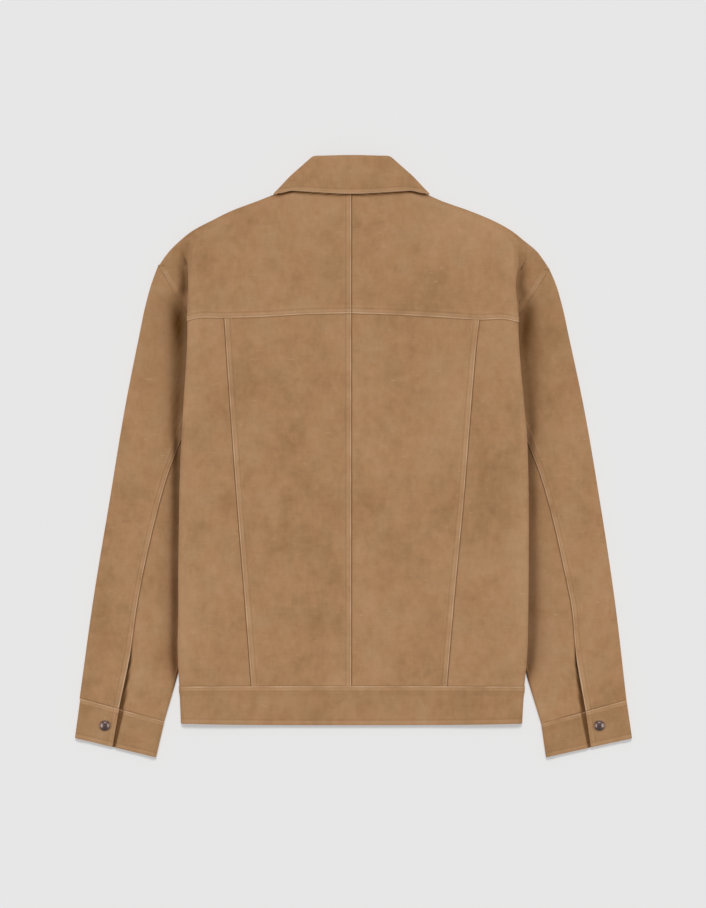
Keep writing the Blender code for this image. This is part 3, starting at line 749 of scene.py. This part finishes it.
def yoke_end(side, y):
    """The yoke's outer end at a level, and each point's distance from the armhole seam."""
    crest = side_edge(side, y) - FOLD
    low = read(BODY_LOW, "low", y)
    high = low + 2 * FOLD
    tip = SHOULDER_TIP[side][1]
    run_steps = np.linspace(0, 1, 14)[1:] ** 0.8
    full = arc((crest, low + FOLD), FOLD, np.linspace(90, -88, 15))
    steps = np.linspace(0, 1, len(full))
    if y < tip - 0.5:
        seam = armhole_out(side, y) - ARMHOLE_GAP
        end_steps = -np.array(LAPPED[::-1]) * ARM_SLANT
        level = SLEEVE_HEIGHT
        start = crest + 8
        run = np.concatenate([start + (seam + end_steps[0] - start) * run_steps[:-1], seam + end_steps])
        run = np.maximum.accumulate(np.maximum(run, crest - 1 + 0.05 * np.arange(len(run))))
        near_seam = ease((run - seam + 26) / 26)
        run_z = level - hollow(side, run, y) - sleeve_dip((tip - y) * ARM_SLANT) * near_seam
        last = np.stack([run, run_z], axis=1)
        reach = min(seam - crest, OPEN_REACH)
        away = np.concatenate([seam - full[:, 0] + 8, seam - run])
    else:
        line = read(SHOULDER, side, y)
        under = collar_room(line - SHOULDER_WRAP, y)
        level = read(BACK_MIDDLE, "top", y) * 0.25 + SLEEVE_HEIGHT * 0.75
        radius = (level - under) / 2
        roll = line - radius
        reach = min(roll - crest, OPEN_REACH)
        flat = np.maximum(crest + (roll - crest) * run_steps, crest + reach * run_steps)
        turn = arc((roll, under + radius), radius, np.linspace(80, -90, len(LAPPED) - 1))
        last = np.concatenate([np.stack([flat, level - hollow(side, flat, y)], axis=1), turn])
        away = np.full(len(full) + len(last), FAR)
    plain_out = crest + steps**1.8 * reach
    plain_z = high + (level - high) * ease(steps) - hollow(side, plain_out, y) * ease(steps * 1.6)
    plain = np.stack([plain_out, plain_z], axis=1)
    folded = fold_opening(side, y)
    opened = folded * full + (1 - folded) * plain
    # The run never steps back inside the end of the fold.
    least = np.minimum(opened[-1, 0], last[:, 0].max() - 0.5) + 0.01 * np.arange(len(last))
    last[:, 0] = np.maximum(last[:, 0], least)
    return np.concatenate([opened, last]), away


def yoke(side):
    """Half the yoke's points, with their relief and painted light."""
    at_centre = LAPPED if side == "left" else TUCKED
    fixed, share = spread(at_centre, 34, (0.6, 2, 5))
    up_fixed, up_share = spread(LAPPED, 52, PLAIN)
    levels = YOKE_SEAM_SIDE + SEAM / 2 + up_fixed + up_share * (NECK_SIDE - YOKE_SEAM_SIDE)
    tip = SHOULDER_TIP[side][1]
    at_tip = np.searchsorted(levels, tip)
    levels[at_tip - 1 : at_tip + 1] = tip - 0.9, tip - 0.3
    rows = []
    away_rows = []
    from_seam = []
    for level, step, part in zip(levels, up_fixed, up_share):
        end, away = yoke_end(side, level)
        crest = end[0][0]
        out = SEAM / 2 + fixed + share * (crest - SEAM / 2)
        seam = read(YOKE_SEAM, side, out) + SEAM / 2
        neck = NECK_CENTRE + out / crest * (NECK_SIDE - NECK_CENTRE)
        y = seam + step + part * (neck - seam)
        # Low down, the rows keep the seam's curve as they pass on to the fold and over it.
        kept = ease(1 - (level - YOKE_SEAM_SIDE) / 30)
        join_y = level + (read(YOKE_SEAM, side, crest) - YOKE_SEAM_SIDE) * kept
        y = y + (join_y - y[-1]) * ease((out / crest - 0.8) / 0.2)
        inner = np.stack([out, y, back_top(side, out, y)], axis=1)
        reach = np.maximum.accumulate(end[:, 0])
        curl = (read(YOKE_SEAM, side, reach) - YOKE_SEAM_SIDE) * kept
        outer = np.stack([end[:, 0], level + curl, end[:, 1]], axis=1)
        rows.append(np.concatenate([inner, outer]))
        away_rows.append(np.concatenate([np.full(len(out), FAR), away]))
        from_seam.append(np.concatenate([y - seam, np.full(len(end), level - levels[0])]))
    points = np.array(rows)
    from_arm = np.array(away_rows)
    from_seam = np.array(from_seam)
    out, y = points[..., 0], points[..., 1]
    centre = lapped(out - SEAM / 2, y) if side == "left" else pressed(out - SEAM / 2)
    slant = (SHOULDER_TIP[side][1] - UNDERARM[1]) / (SHOULDER_TIP[side][0] - UNDERARM[0])
    square = slant / np.hypot(1, slant)
    arm = lapped(from_arm * square, y)
    faded = ease((tip - 1 - y) / 9) * ease((y - ARM_SEAM_END[side]) / 12)
    # The armhole seam's relief and painted highlight fade at both ends, and the highlight is widened by a
    # soft pale band beside it.
    arm = arm[0] * faded, (0.42 * arm[1] + 0.17 * bell((from_arm * square - 4) / 3)) * faded
    outside = np.arange(points.shape[1]) > len(fixed) + 8
    across = out / COLLAR_CORNER
    collar_edge = COLLAR_LEVEL + COLLAR_LIFT * ease(across) - COLLAR_HOOK * ease((across - 0.8) / 0.2)
    # A painted shadow darkens the yoke in a band just below the collar's lower edge.
    collar_shadow = -0.95 * bell((y - collar_edge) / 1.8)
    height, painted_light_and_tone = together(centre, lapped(from_seam, out, 0.6), arm)
    # Painted shade darkens the hollow beside the body, beyond the back's own rows.
    painted_light_and_tone = painted_light_and_tone - shade(side, points) * outside + collar_shadow
    return points, height, painted_light_and_tone + crest_highlight(side, points)


for side in SIDES:
    # The armhole seam's stitches run only over the rows below the shoulder's tip.
    sewn = (NEAR, OFF, np.s_[:34, -1 - NEAR], np.s_[:34, -1 - OFF])
    sewn += BY_FIRST_COLUMN if side == "left" else ()
    under_yoke = [f"front_{side}", "collar_fall"]
    lay(f"yoke_{side}", side, *yoke(side), PLY, under_yoke, 5.1 + SIDES[side] * 0.4, sewn)


# ---- The fronts ----------------------------------------------
# The jacket lies on its two plain fronts, which lap at the centre, the left outermost. Their edges
# rise to the side seams, and over the collar's leaves that lie under them.

LAP = 14.0
LAP_RISE = 2.9
FRONT_NECK = 222.0
UNDERARM_RISE = 4.3
UNDERARM_REACH = 45.0
FRONT_NECKLINE = table(
    "y out",
    (221, -14.0), (230, 27.0), (238, 30.0), (262, 41.5), (290, 56.5), (328, 76.5),
)


def underarm_rise(side, y):
    """How high the front armhole seam stands near the underarm, where the sleeve's tube closes."""
    out, top = SHOULDER_TIP[side]
    length = np.hypot(out - UNDERARM[0], top - UNDERARM[1]) / (top - UNDERARM[1])
    return UNDERARM_RISE * ease(1 - (y - UNDERARM[1]) * length / UNDERARM_REACH)


def front_low(side, out, y):
    """The height of the front's outer face, which lies on the surface and rises at its edges."""
    if y <= UNDERARM[1]:
        edge = side_seam_out(side, y)
        rise = read(SIDE_SEAM, "low", y)
    else:
        edge = armhole_out(side, min(y, SHOULDER_TIP[side][1]))
        rise = underarm_rise(side, y)
    low = rise * np.clip((out - edge + 20) / 20, 0, 1) ** 2
    low = np.maximum(low, collar_room(out, y))
    if side == "right":
        low = low + LAP_RISE * (1 - ease((out - LAP - 4) / 24))
    return low


def plain(rows):
    """A piece's points with no relief and no painted light, because none of its seams shows."""
    points = np.array(rows)
    return points, 0 * points[..., 0], 0 * points[..., 0]


def front_panel(side):
    """A front's points, from its outer edge in to its lapped edge."""
    levels = np.concatenate([np.linspace(WAIST_SEAM + SEAM / 2, 214, 44), np.linspace(218, 327, 34)])
    rows = []
    for y in levels:
        inner = -LAP if y <= FRONT_NECK else read(FRONT_NECKLINE, "out", y)
        if y <= UNDERARM[1]:
            outer = side_seam_out(side, y) - SEAM / 2
        elif y < SHOULDER_TIP[side][1] - 4:
            outer = armhole_out(side, y) - ARMHOLE_GAP
        else:
            outer = read(SHOULDER, side, y) - SHOULDER_WRAP - 3
        out = np.linspace(outer, inner, 44)
        rows.append(np.stack([out, np.full(len(out), y), front_low(side, out, y)], axis=1))
    return plain(rows)


for side in SIDES:
    lay(f"front_{side}", side, *front_panel(side), PLY, ["floor"], 7.7 + SIDES[side] * 0.5)


# ---- The waistband -------------------------------------------
# A doubled band of suede, 48 mm deep. The back piece is lapped over the body's lower edge, topstitched,
# and turns round both folded sides to the side seams, where the two lapped front pieces begin.

BAND = 2.2
HEM = {"centre": -337.2, "side": -335.3}
BAND_DEPTH = WAIST_SEAM - HEM["side"]
# Where a sheet's points lie by a hemmed edge, counted from the edge, and where its stitches are.
HEMMED = (0, 0.3, 0.7, 1.2, 2, 3.2, 4.6, 5.6, 6.2, 6.8, 7.6, 9)
HEM_STITCHES = 6.2
HEM_ROW = HEMMED.index(HEM_STITCHES)


def hem_y(out):
    """The hem runs a little lower at the centre."""
    return HEM["centre"] + (HEM["side"] - HEM["centre"]) * np.minimum(out / 205, 1) ** 3


def hemmed(d):
    """A band's turned lower edge, `d` from it, with its one row of stitches, a painted highlight on and
    beside the edge, and painted shade at the stitches.
    """
    height = -0.55 * bell(d / 0.8) - 0.16 * bell((d - HEM_STITCHES) / 0.7) + 0.12 * ease(1 - (d - 6) / 2)
    painted_light_and_tone = 0.12 * bell((d - 0.6) / 1.4) + 0.13 * bell((d - 4.2) / 1.8) - 0.12 * bell((d - 6.6) / 0.9)
    return height, painted_light_and_tone


def waistband_back():
    """The back band's points, from side seam to side seam, with their relief, painted light and tone."""
    down_fixed, down_share = spread(LAPPED, 7, HEMMED)
    halves = {}
    for side in SIDES:
        half_rows = []
        for step, part in zip(down_fixed, down_share):
            y = WAIST_SEAM - SEAM / 2 - step - part * BAND_DEPTH
            crest = read(BODY_SIDE, side, y) - FOLD
            low = read(BODY_LOW, "low", y)
            out = np.linspace(0, crest, 46)
            drop = part * (hem_y(out) - HEM["side"])
            back = np.stack([out, y + drop, back_top(side, out, y + drop)], axis=1)
            turn = arc((crest, low + FOLD), FOLD, np.linspace(78, -90, 14))
            end = side_seam_out(side, y) + SEAM / 2
            under = np.linspace((crest - 0.5, low), (end, read(SIDE_SEAM, "low", y)), 3)
            folded = np.concatenate([turn, under])
            folded = np.stack([folded[:, 0], np.full(len(folded), y), folded[:, 1]], axis=1)
            half_rows.append(np.concatenate([back, folded]))
        halves[side] = np.array(half_rows) * (SIDES[side], 1, 1)
    points = np.concatenate([halves["left"][:, :0:-1], halves["right"]], axis=1)[::-1]
    x = points[..., 0]
    from_seam = (down_fixed + down_share * BAND_DEPTH)[::-1, None] + 0 * x
    height, painted_light_and_tone = together(lapped(from_seam, x, 0.25), hemmed(BAND_DEPTH - from_seam))
    return points, height, painted_light_and_tone - 0.06


def waistband_front(side):
    """A front band's points."""
    rows = []
    for share in np.linspace(1, 0, 14):
        y = WAIST_SEAM - SEAM / 2 - share * BAND_DEPTH
        out = np.linspace(side_seam_out(side, y) - SEAM / 2, -LAP, 48)
        rows.append(np.stack([out, np.full(len(out), y), front_low(side, out, y)], axis=1))
    return plain(rows)


under_band = ["waistband_front_left", "waistband_front_right"]
lay("waistband_back", None, *waistband_back(), BAND, under_band, 9.4, (-1 - NEAR, -1 - OFF, HEM_ROW))
for side in SIDES:
    lay(f"waistband_front_{side}", side, *waistband_front(side), BAND, ["floor"], 10.2 + SIDES[side] * 0.3)


# ---- The sleeves ---------------------------------------------
# Each is a flattened tube of two pieces. The upper sleeve is lapped over the under sleeve along a
# seam that ends above the cuff in a slit. The body's folded side lies on it and presses a trough beside it.

SLEEVE_LENGTH = 545.0
SLEEVE_LEAST = 2.8
SLIT_TOP = 0.83
SLIT_GAP = (6.0, 3.6)
SLIT_LOW = 2.6
SLIT_TUCK = 5.0
CUFF_SEAM = {"left": ((339.4, -303.1), (234.0, -331.9)), "right": ((344.2, -305.2), (237.3, -335.2))}
SLEEVE_OUTER = table(
    "y left right",
    (-306, 340.7, 344.3), (-181, 323.4, 329.6), (-56, 302.8, 310.8), (69, 281.9, 289.2),
    (144, 267.0, 273.2), (194, 256.4, 262.0), (219, 249.2, 254.2), (240, 240.9, 243.2),
)
# A flattened tube's turn from its upper face to its lower one, in degrees from straight outwards.
EDGE_TURN = np.linspace(78, -90, 13)
# The seam between the two pieces, as a share of the sleeve's width from its outer edge.
SLEEVE_SEAM = table(
    "along left right",
    (0.00, 0.680, 0.680), (0.24, 0.552, 0.536), (0.39, 0.479, 0.463), (0.50, 0.451, 0.438),
    (0.63, 0.439, 0.428), (0.74, 0.446, 0.427), (0.83, 0.468, 0.462), (1.00, 0.464, 0.479),
)
SLEEVE_CREASES = {
    "left": table(
        "x y long wide turn depth",
        (-246, 176, 26, 6, 36, -0.9), (-268, 92, 60, 9, -12, 0.5), (-262, -70, 80, 8, -14, -0.6),
        (-296, -120, 70, 9, -9, -0.5), (-222, -210, 45, 9, -16, -0.6), (-312, -240, 40, 9, -8, 0.5),
    ),
    "right": table(
        "x y long wide turn depth",
        (250, 168, 28, 6, -34, -0.8), (272, 80, 65, 9, 11, 0.5), (264, -86, 75, 8, 13, -0.6),
        (300, -140, 70, 9, 9, -0.5), (226, -222, 45, 9, 15, -0.6), (316, -236, 40, 9, 8, 0.5),
    ),
}


def sleeve_ends(side, along):
    """Where a section across the sleeve meets its outer and its inner edge."""
    tip = np.array(SHOULDER_TIP[side])
    outer_y = tip[1] + max(along, 0) * (CUFF_SEAM[side][0][1] - tip[1])
    inner_y = UNDERARM[1] + max(along, 0) * (CUFF_SEAM[side][1][1] - UNDERARM[1])
    outer = np.array((read(SLEEVE_OUTER, side, outer_y), outer_y))
    if along < 0.05:
        outer = outer + (tip - outer) * ease(1 - along / 0.05)
    inner = np.array((read(SLEEVE_INNER, side, inner_y), inner_y))
    beyond = along - np.clip(along, 0, 1)
    down = (np.array(CUFF_SEAM[side][0]) - tip) * beyond
    return outer + down * (1, along < 0), inner + down * (1, along < 0)


def sleeve_top(side, place, c, width):
    """The height of the sleeve's upper face: dipped in its middle, creased, and troughed by the body."""
    out, y = place[:, 0], place[:, 1]
    height = SLEEVE_HEIGHT - sleeve_dip(np.minimum(c, width - c))
    height = height + creased(SLEEVE_CREASES[side], SIDES[side] * out, y)
    return np.maximum(height - hollow(side, out, y), np.minimum(height, SLEEVE_LEAST))


def sleeve_bottom(c, width, along):
    """The height of its lower face, which rises at the underarm."""
    return UNDERARM_RISE * ease(1 - (width - c) / UNDERARM_REACH) * ease(1 - along / 0.07)


def section_places(outer, inner, c):
    """Plan places (out, y) at distances c from the sleeve's outer edge."""
    along = (inner - outer) / np.hypot(*(inner - outer))
    return outer + np.outer(c, along)


# Where the sections lie down the sleeve, which runs on a little into the seams at its two ends.
sleeve_fixed, sleeve_share = spread(PLAIN, 110, PLAIN)
sleeve_along = (sleeve_fixed / SLEEVE_LENGTH + sleeve_share) * 1.0022 - 0.0012


def sleeve_piece(side, upper):
    """One piece of a sleeve: from its seam on top, round its edge and underneath to the seam again."""
    radius = SLEEVE_HEIGHT / 2
    rows = []
    from_seam = []
    slit_shade_rows = []
    for along in sleeve_along:
        outer, inner = sleeve_ends(side, along)
        width = np.hypot(*(inner - outer))
        seam = width * read(SLEEVE_SEAM, side, along)
        slit = np.clip((along - SLIT_TOP) / (1 - SLIT_TOP), 0, 1) ** 0.8
        if upper:
            fixed, share = spread(LAPPED, 12, (0, 0.7, 2))
            away = fixed + share * (seam - SEAM / 2 - radius)
            top_c = seam - SEAM / 2 - away
            turn = arc((radius, radius), radius, 180 - EDGE_TURN)
            under_c = np.linspace(radius + 1, seam - SEAM / 2, 8)
            drop = 0 * top_c
        else:
            fixed, share = spread(PLAIN, 18, (0, 0.7, 2))
            opening = seam + slit * SLIT_GAP[0]
            tuck = slit * SLIT_TUCK
            away = fixed + share * (width - radius - seam - SEAM / 2 + tuck)
            top_c = seam + SEAM / 2 - tuck + away
            low = sleeve_bottom(width, width, along)
            end_radius = (SLEEVE_HEIGHT - low) / 2
            turn = arc((width - radius, low + end_radius), end_radius, EDGE_TURN)
            under_c = np.linspace(width - radius - 1, seam + SEAM / 2, 8)
            drop = SLIT_LOW * min(slit * 3, 1) * ease((opening + 1.6 - top_c) / 2.4)
        top_place = section_places(outer, inner, top_c)
        top_z = sleeve_top(side, top_place, top_c, width) - drop
        turn_place = section_places(outer, inner, turn[:, 0])
        under_place = section_places(outer, inner, under_c)
        under_z = sleeve_bottom(under_c, width, along)
        place = np.concatenate([top_place, turn_place, under_place])
        z = np.concatenate([top_z, turn[:, 1], under_z])
        rows.append(np.column_stack([place, z]))
        hidden = 30 + np.arange(len(z) - len(away))
        from_seam.append(np.concatenate([away, hidden]))
        # Painted shade darkens the under sleeve where it dips under the flap at the slit.
        slit_shade_rows.append(np.concatenate([drop / SLIT_LOW * -0.72, 0 * hidden]))
    points = np.array(rows)
    from_seam = np.array(from_seam)
    along = sleeve_along[:, None] + 0 * from_seam
    if upper:
        height, painted_light_and_tone = lapped(from_seam, along * SLEEVE_LENGTH)
        # At the slit the flap's turned edge stands up, with a painted highlight along it.
        edge = ease((along - SLIT_TOP) / 0.03)
        height = height + edge * 0.9 * bell(from_seam / 0.42)
        painted_light_and_tone = painted_light_and_tone + edge * (0.95 * bell(from_seam / 0.36) + 0.15 * bell((from_seam - 0.8) / 0.8))
    else:
        height, painted_light_and_tone = pressed(from_seam)
        painted_light_and_tone = painted_light_and_tone + np.array(slit_shade_rows)
    # Painted shade darkens the sleeve's upper face in the trough beside the body.
    painted_light_and_tone = painted_light_and_tone - shade(side, points) * (points[..., 2] > 2)
    from_head = along * SLEEVE_LENGTH + 0.6
    head = pressed(from_head * 0.65)
    # Painted shade darkens a thin line beside the armhole seam and a broad soft band on the sleeve's head
    # below it.
    head_shade = -0.42 * bell((from_head - 0.8) / 1.5) - 0.13 * bell((from_head - 6) / 9)
    foot = pressed((1 - along) * SLEEVE_LENGTH + 0.4, 0.25)
    on_top = 1 - ease((from_seam - 29) / 6)
    height = (height + head[0] + foot[0]) * on_top
    painted_light_and_tone = painted_light_and_tone + (head[1] + head_shade) * on_top + foot[1]
    step = SIDES["left"] if upper else SIDES["right"]
    return points[::step], height[::step], painted_light_and_tone[::step]


for side in SIDES:
    upper = sleeve_piece(side, True)
    lay(f"sleeve_upper_{side}", side, *upper, PLY, ["floor"], 12.3 + SIDES[side] * 0.7, BY_FIRST_COLUMN)
    lay(f"sleeve_under_{side}", side, *sleeve_piece(side, False), PLY, ["floor"], 14.6 + SIDES[side] * 0.7)


# ---- The cuffs -----------------------------------------------
# A doubled band round each sleeve's end, lapped over the sleeve and topstitched. At the slit its outer
# end laps over its inner end, which tucks in under it.

CUFF_HEIGHT = 8.8
CUFF_DIP = 1.4
CUFF_END = {"left": ((346.2, -353.3), (244.6, -377.6)), "right": ((351.2, -353.7), (243.4, -377.5))}
CUFF_DEPTH = 50.4
CUFF_SLIT = {"left": 0.463, "right": 0.479}
CUFF_TUCK = 5.0
CUFF_TUCK_LOW = 2.4


def cuff_top(c, width):
    """The height of a cuff's upper face, a little dipped between its folded edges."""
    return CUFF_HEIGHT - CUFF_DIP * ease((np.minimum(c, width - c) - CUFF_HEIGHT / 2) / 16)


def cuff(side):
    """A cuff's points: from the tucked end over the inner edge, underneath and round to the lapped end."""
    down_fixed, down_share = spread(LAPPED, 7, HEMMED)
    shares = np.clip(down_fixed / CUFF_DEPTH + down_share, 0, 1)
    seam_ends = np.array(CUFF_SEAM[side])
    fall = np.array(CUFF_END[side][0]) - seam_ends[0]
    radius = CUFF_HEIGHT / 2
    rows = []
    from_flap = []
    tuck_shade_rows = []
    for share in shares:
        ends = seam_ends + share * (np.array(CUFF_END[side]) - seam_ends)
        ends = ends + (1 - share) * SEAM * 1.5 * fall / np.hypot(*fall)
        outer, inner = ends
        width = np.hypot(*(inner - outer))
        slit = width * CUFF_SLIT[side]
        opening = slit + SLIT_GAP[0] + share * (SLIT_GAP[1] - SLIT_GAP[0])
        tucked = np.linspace(slit - CUFF_TUCK, opening + 3, 22)
        inner_top = np.concatenate([tucked, np.linspace(opening + 3, width - radius, 16)[1:]])
        drop = CUFF_TUCK_LOW * ease((opening + 1.4 - inner_top) / 2.0)
        inner_turn = arc((width - radius, radius), radius, EDGE_TURN)
        bottom = np.linspace(width - radius - 1, radius + 1, 16)
        outer_turn = arc((radius, radius), radius, -180 - EDGE_TURN[::-1])
        flap_fixed, flap_share = spread((1, 3), 10, LAPPED)
        outer_top = radius + flap_fixed + flap_share * (slit - radius)
        c = np.concatenate([inner_top, inner_turn[:, 0], bottom, outer_turn[:, 0], outer_top])
        inner_z = cuff_top(inner_top, width) - drop
        outer_z = cuff_top(outer_top, width)
        z = np.concatenate([inner_z, inner_turn[:, 1], 0 * bottom, outer_turn[:, 1], outer_z])
        rows.append(np.column_stack([section_places(outer, inner, c), z]))
        from_flap.append(np.concatenate([np.full(len(c) - len(outer_top), FAR), slit - outer_top]))
        # Painted shade darkens the tucked end where it dips under the flap.
        tuck_shade_rows.append(np.concatenate([drop / CUFF_TUCK_LOW * -0.60, np.zeros(len(c) - len(inner_top))]))
    points = np.array(rows)
    from_flap = np.array(from_flap)
    from_seam = (shares * CUFF_DEPTH)[:, None] + 0 * from_flap
    seam = lapped(from_seam, points[..., 0], 0.25)
    height, painted_light_and_tone = together(seam, hemmed(CUFF_DEPTH - from_seam), hemmed(from_flap))
    on_top = ease((points[..., 2] - 6) / 2)
    return points, height * on_top, painted_light_and_tone + np.array(tuck_shade_rows) - 0.09


for side in SIDES:
    sewn = (NEAR, OFF, -1 - HEM_ROW, np.s_[:, -1 - NEAR])
    lay(f"cuff_{side}", side, *cuff(side), BAND, ["floor"], 17.2 + SIDES[side] * 0.6, sewn)


# ---- The cuff snaps ------------------------------------------
# A spun metal cap, 13 mm across, with a rolled rim and a low dome, plated dark gunmetal. It is
# pressed into the cuff's outer end.

SNAP_RADIUS = 6.5
SNAP_HEIGHT = 2.6
SNAP_FOOT = 0.93
GUNMETAL = (0.105, 0.069, 0.062, 1)
GUNMETAL_WORN = (0.250, 0.180, 0.160, 1)


def snap(side):
    """Turned from a disc: a rim, a groove inside it, and a dome."""
    low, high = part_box(f"snap_{side}")
    middle = (low + high) / 2
    bpy.ops.object.select_all(action="DESELECT")
    foot = (middle.x, middle.y, low.z)
    radius = SNAP_RADIUS * SNAP_FOOT * MM
    bpy.ops.mesh.primitive_circle_add(vertices=64, radius=radius, fill_type="NGON", location=foot)
    cap = bpy.context.object
    cap.name = f"snap_cap_{side}"
    bpy.ops.object.transform_apply(location=True, rotation=True, scale=True)
    profile = table(
        "radius height",
        (0.99, 0.14), (1.00, 0.30), (0.97, 0.44), (0.90, 0.50), (0.83, 0.46), (0.79, 0.47),
        (0.66, 0.68), (0.48, 0.85), (0.28, 0.96), (0.10, 1.00),
    )
    bpy.ops.object.mode_set(mode="EDIT")
    bpy.ops.mesh.select_all(action="SELECT")
    last_radius, last_height = SNAP_FOOT, 0.0
    for radius, height in zip(profile["radius"], profile["height"]):
        rise = (height - last_height) * SNAP_HEIGHT * MM
        bpy.ops.mesh.extrude_region_move(TRANSFORM_OT_translate={"value": (0, 0, rise)})
        grow = radius / last_radius
        bpy.ops.transform.resize(value=(grow, grow, 1), center_override=(middle.x, middle.y, 0))
        last_radius, last_height = radius, height
    bpy.ops.mesh.select_all(action="SELECT")
    bpy.ops.mesh.normals_make_consistent(inside=False)
    bpy.ops.object.mode_set(mode="OBJECT")
    bpy.ops.object.shade_smooth_by_angle(angle=np.radians(50))
    return cap


gunmetal = bpy.data.materials.new("gunmetal plate")
gunmetal.use_nodes = True
plate_tree = gunmetal.node_tree
plate = plate_tree.nodes["Principled BSDF"]
plate.inputs["Metallic"].default_value = 0.9
plate_here = add(plate_tree, "ShaderNodeTexCoord")
plate_wear = patches(plate_tree, plate_here.outputs["Object"], 900, 3)
plate_haze = sum_of(plate_tree, "ADD", sum_of(plate_tree, "MULTIPLY", plate_wear, 0.2), 0.22)
join(plate_tree, blend(plate_tree, plate_wear, GUNMETAL, GUNMETAL_WORN), plate, "Base Color")
join(plate_tree, plate_haze, plate, "Roughness")

for side in SIDES:
    cap = snap(side)
    cap.data.materials.append(gunmetal)
    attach(cap, "root")
    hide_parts(f"snap_{side}")


# ---- The collar ----------------------------------------------
# A doubled fall turned down over its stand. Its leaves fold round both sides of the neck to the front,
# and its lower edge is rolled over and topstitched. The stand joins it to the neckline inside.

STAND = 1.8
COLLAR_FOLD = {"y": 375.6, "half": 50.6, "top": 15.2}
COLLAR_EDGE = {"y": 327.0, "half": 98.0, "top": 13.6}
COLLAR_ROLL = 2.9
COLLAR_DROP = 100.0
COLLAR_MEET = 2.0
STAND_DEPTH = 0.74


def collar_line(down, inset, lift):
    """One line round the flattened collar: from centre front round by the back to centre front again.

    `down` is 0 at the fold line and 1 at the leaf's outer edge. `inset` moves the line towards the
    neck's inside, and `lift` raises its sides above its centre back.
    """
    y = COLLAR_FOLD["y"] - COLLAR_ROLL + down * (COLLAR_EDGE["y"] - COLLAR_FOLD["y"] + COLLAR_ROLL)
    half = COLLAR_FOLD["half"] + down * (COLLAR_EDGE["half"] - COLLAR_FOLD["half"])
    top = COLLAR_FOLD["top"] + down * (COLLAR_EDGE["top"] - COLLAR_FOLD["top"])
    radius = top / 2
    crest = half - radius
    front_end = COLLAR_MEET + (LEAF_TIP[0] - COLLAR_MEET) * down
    hook = COLLAR_HOOK * ease((down - 0.5) / 0.5)
    t = np.linspace(1, 0, 26)[:-1]
    leaf_y = y + lift - COLLAR_DROP * t - hook * ease(1 - t / 0.3)
    leaf = np.stack([crest - t * (crest - front_end), leaf_y, inset + 0 * t], axis=1)
    side = arc((crest, radius), radius - inset, np.linspace(-90, 90, 19))
    side = np.stack([side[:, 0], np.full(len(side), y + lift - hook), side[:, 1]], axis=1)
    t = 1 - np.linspace(0, 1, 44)[1:] ** 1.25
    back_y = y + lift * ease(t) - hook * ease((t - 0.80) / 0.20)
    back = np.stack([crest * t, back_y, top - inset + 0 * t], axis=1)
    right = np.concatenate([leaf, side, back])
    left = right * (-1, 1, 1)
    return np.concatenate([left[:-1], right[::-1]])


def collar_fall():
    """The fall's points: its turned lower edge, the leaf, the roll at the fold line, and inside it."""
    down_fixed, down_share = spread(LAPPED, 12, (0, 1.0))
    depth = np.hypot(COLLAR_EDGE["y"] - COLLAR_FOLD["y"], 8)
    downs = 1 - (down_fixed / depth + down_share)
    rows = [collar_line(down, 0, COLLAR_LIFT * down) for down in downs]
    fold = rows[-1]
    inside = collar_line(0, 2 * COLLAR_ROLL, 0)
    up = fold - rows[0]
    up[:, 2] = 0
    up /= np.linalg.norm(up, axis=1)[:, None]
    for angle in np.radians(np.linspace(0, 180, 13)[1:]):
        across = (fold - inside) / 2 * np.cos(angle)
        rows.append((fold + inside) / 2 + across + COLLAR_ROLL * np.sin(angle) * up)
    points = np.array(rows)
    from_edge = np.concatenate([(1 - downs) * depth, 60 + np.arange(12)])[:, None] + 0 * points[..., 0]
    height, painted_light_and_tone = hemmed(from_edge)
    # A painted highlight pales the rolled lower edge.
    painted_light_and_tone = painted_light_and_tone + 0.25 * bell((from_edge - 0.8) / 1.2)
    return points, height, painted_light_and_tone


def collar_stand():
    """The stand's points, from just inside the fold line to the neckline."""
    downs = np.linspace(0.09, STAND_DEPTH, 12)
    return plain([collar_line(down, 2 * COLLAR_ROLL, -5 * down) for down in downs])


lay("collar_fall", None, *collar_fall(), LEAF, ["yoke_left", "yoke_right"], 20.5, (OFF,))
lay("collar_stand", None, *collar_stand(), STAND, ["collar_fall"], 22.1)
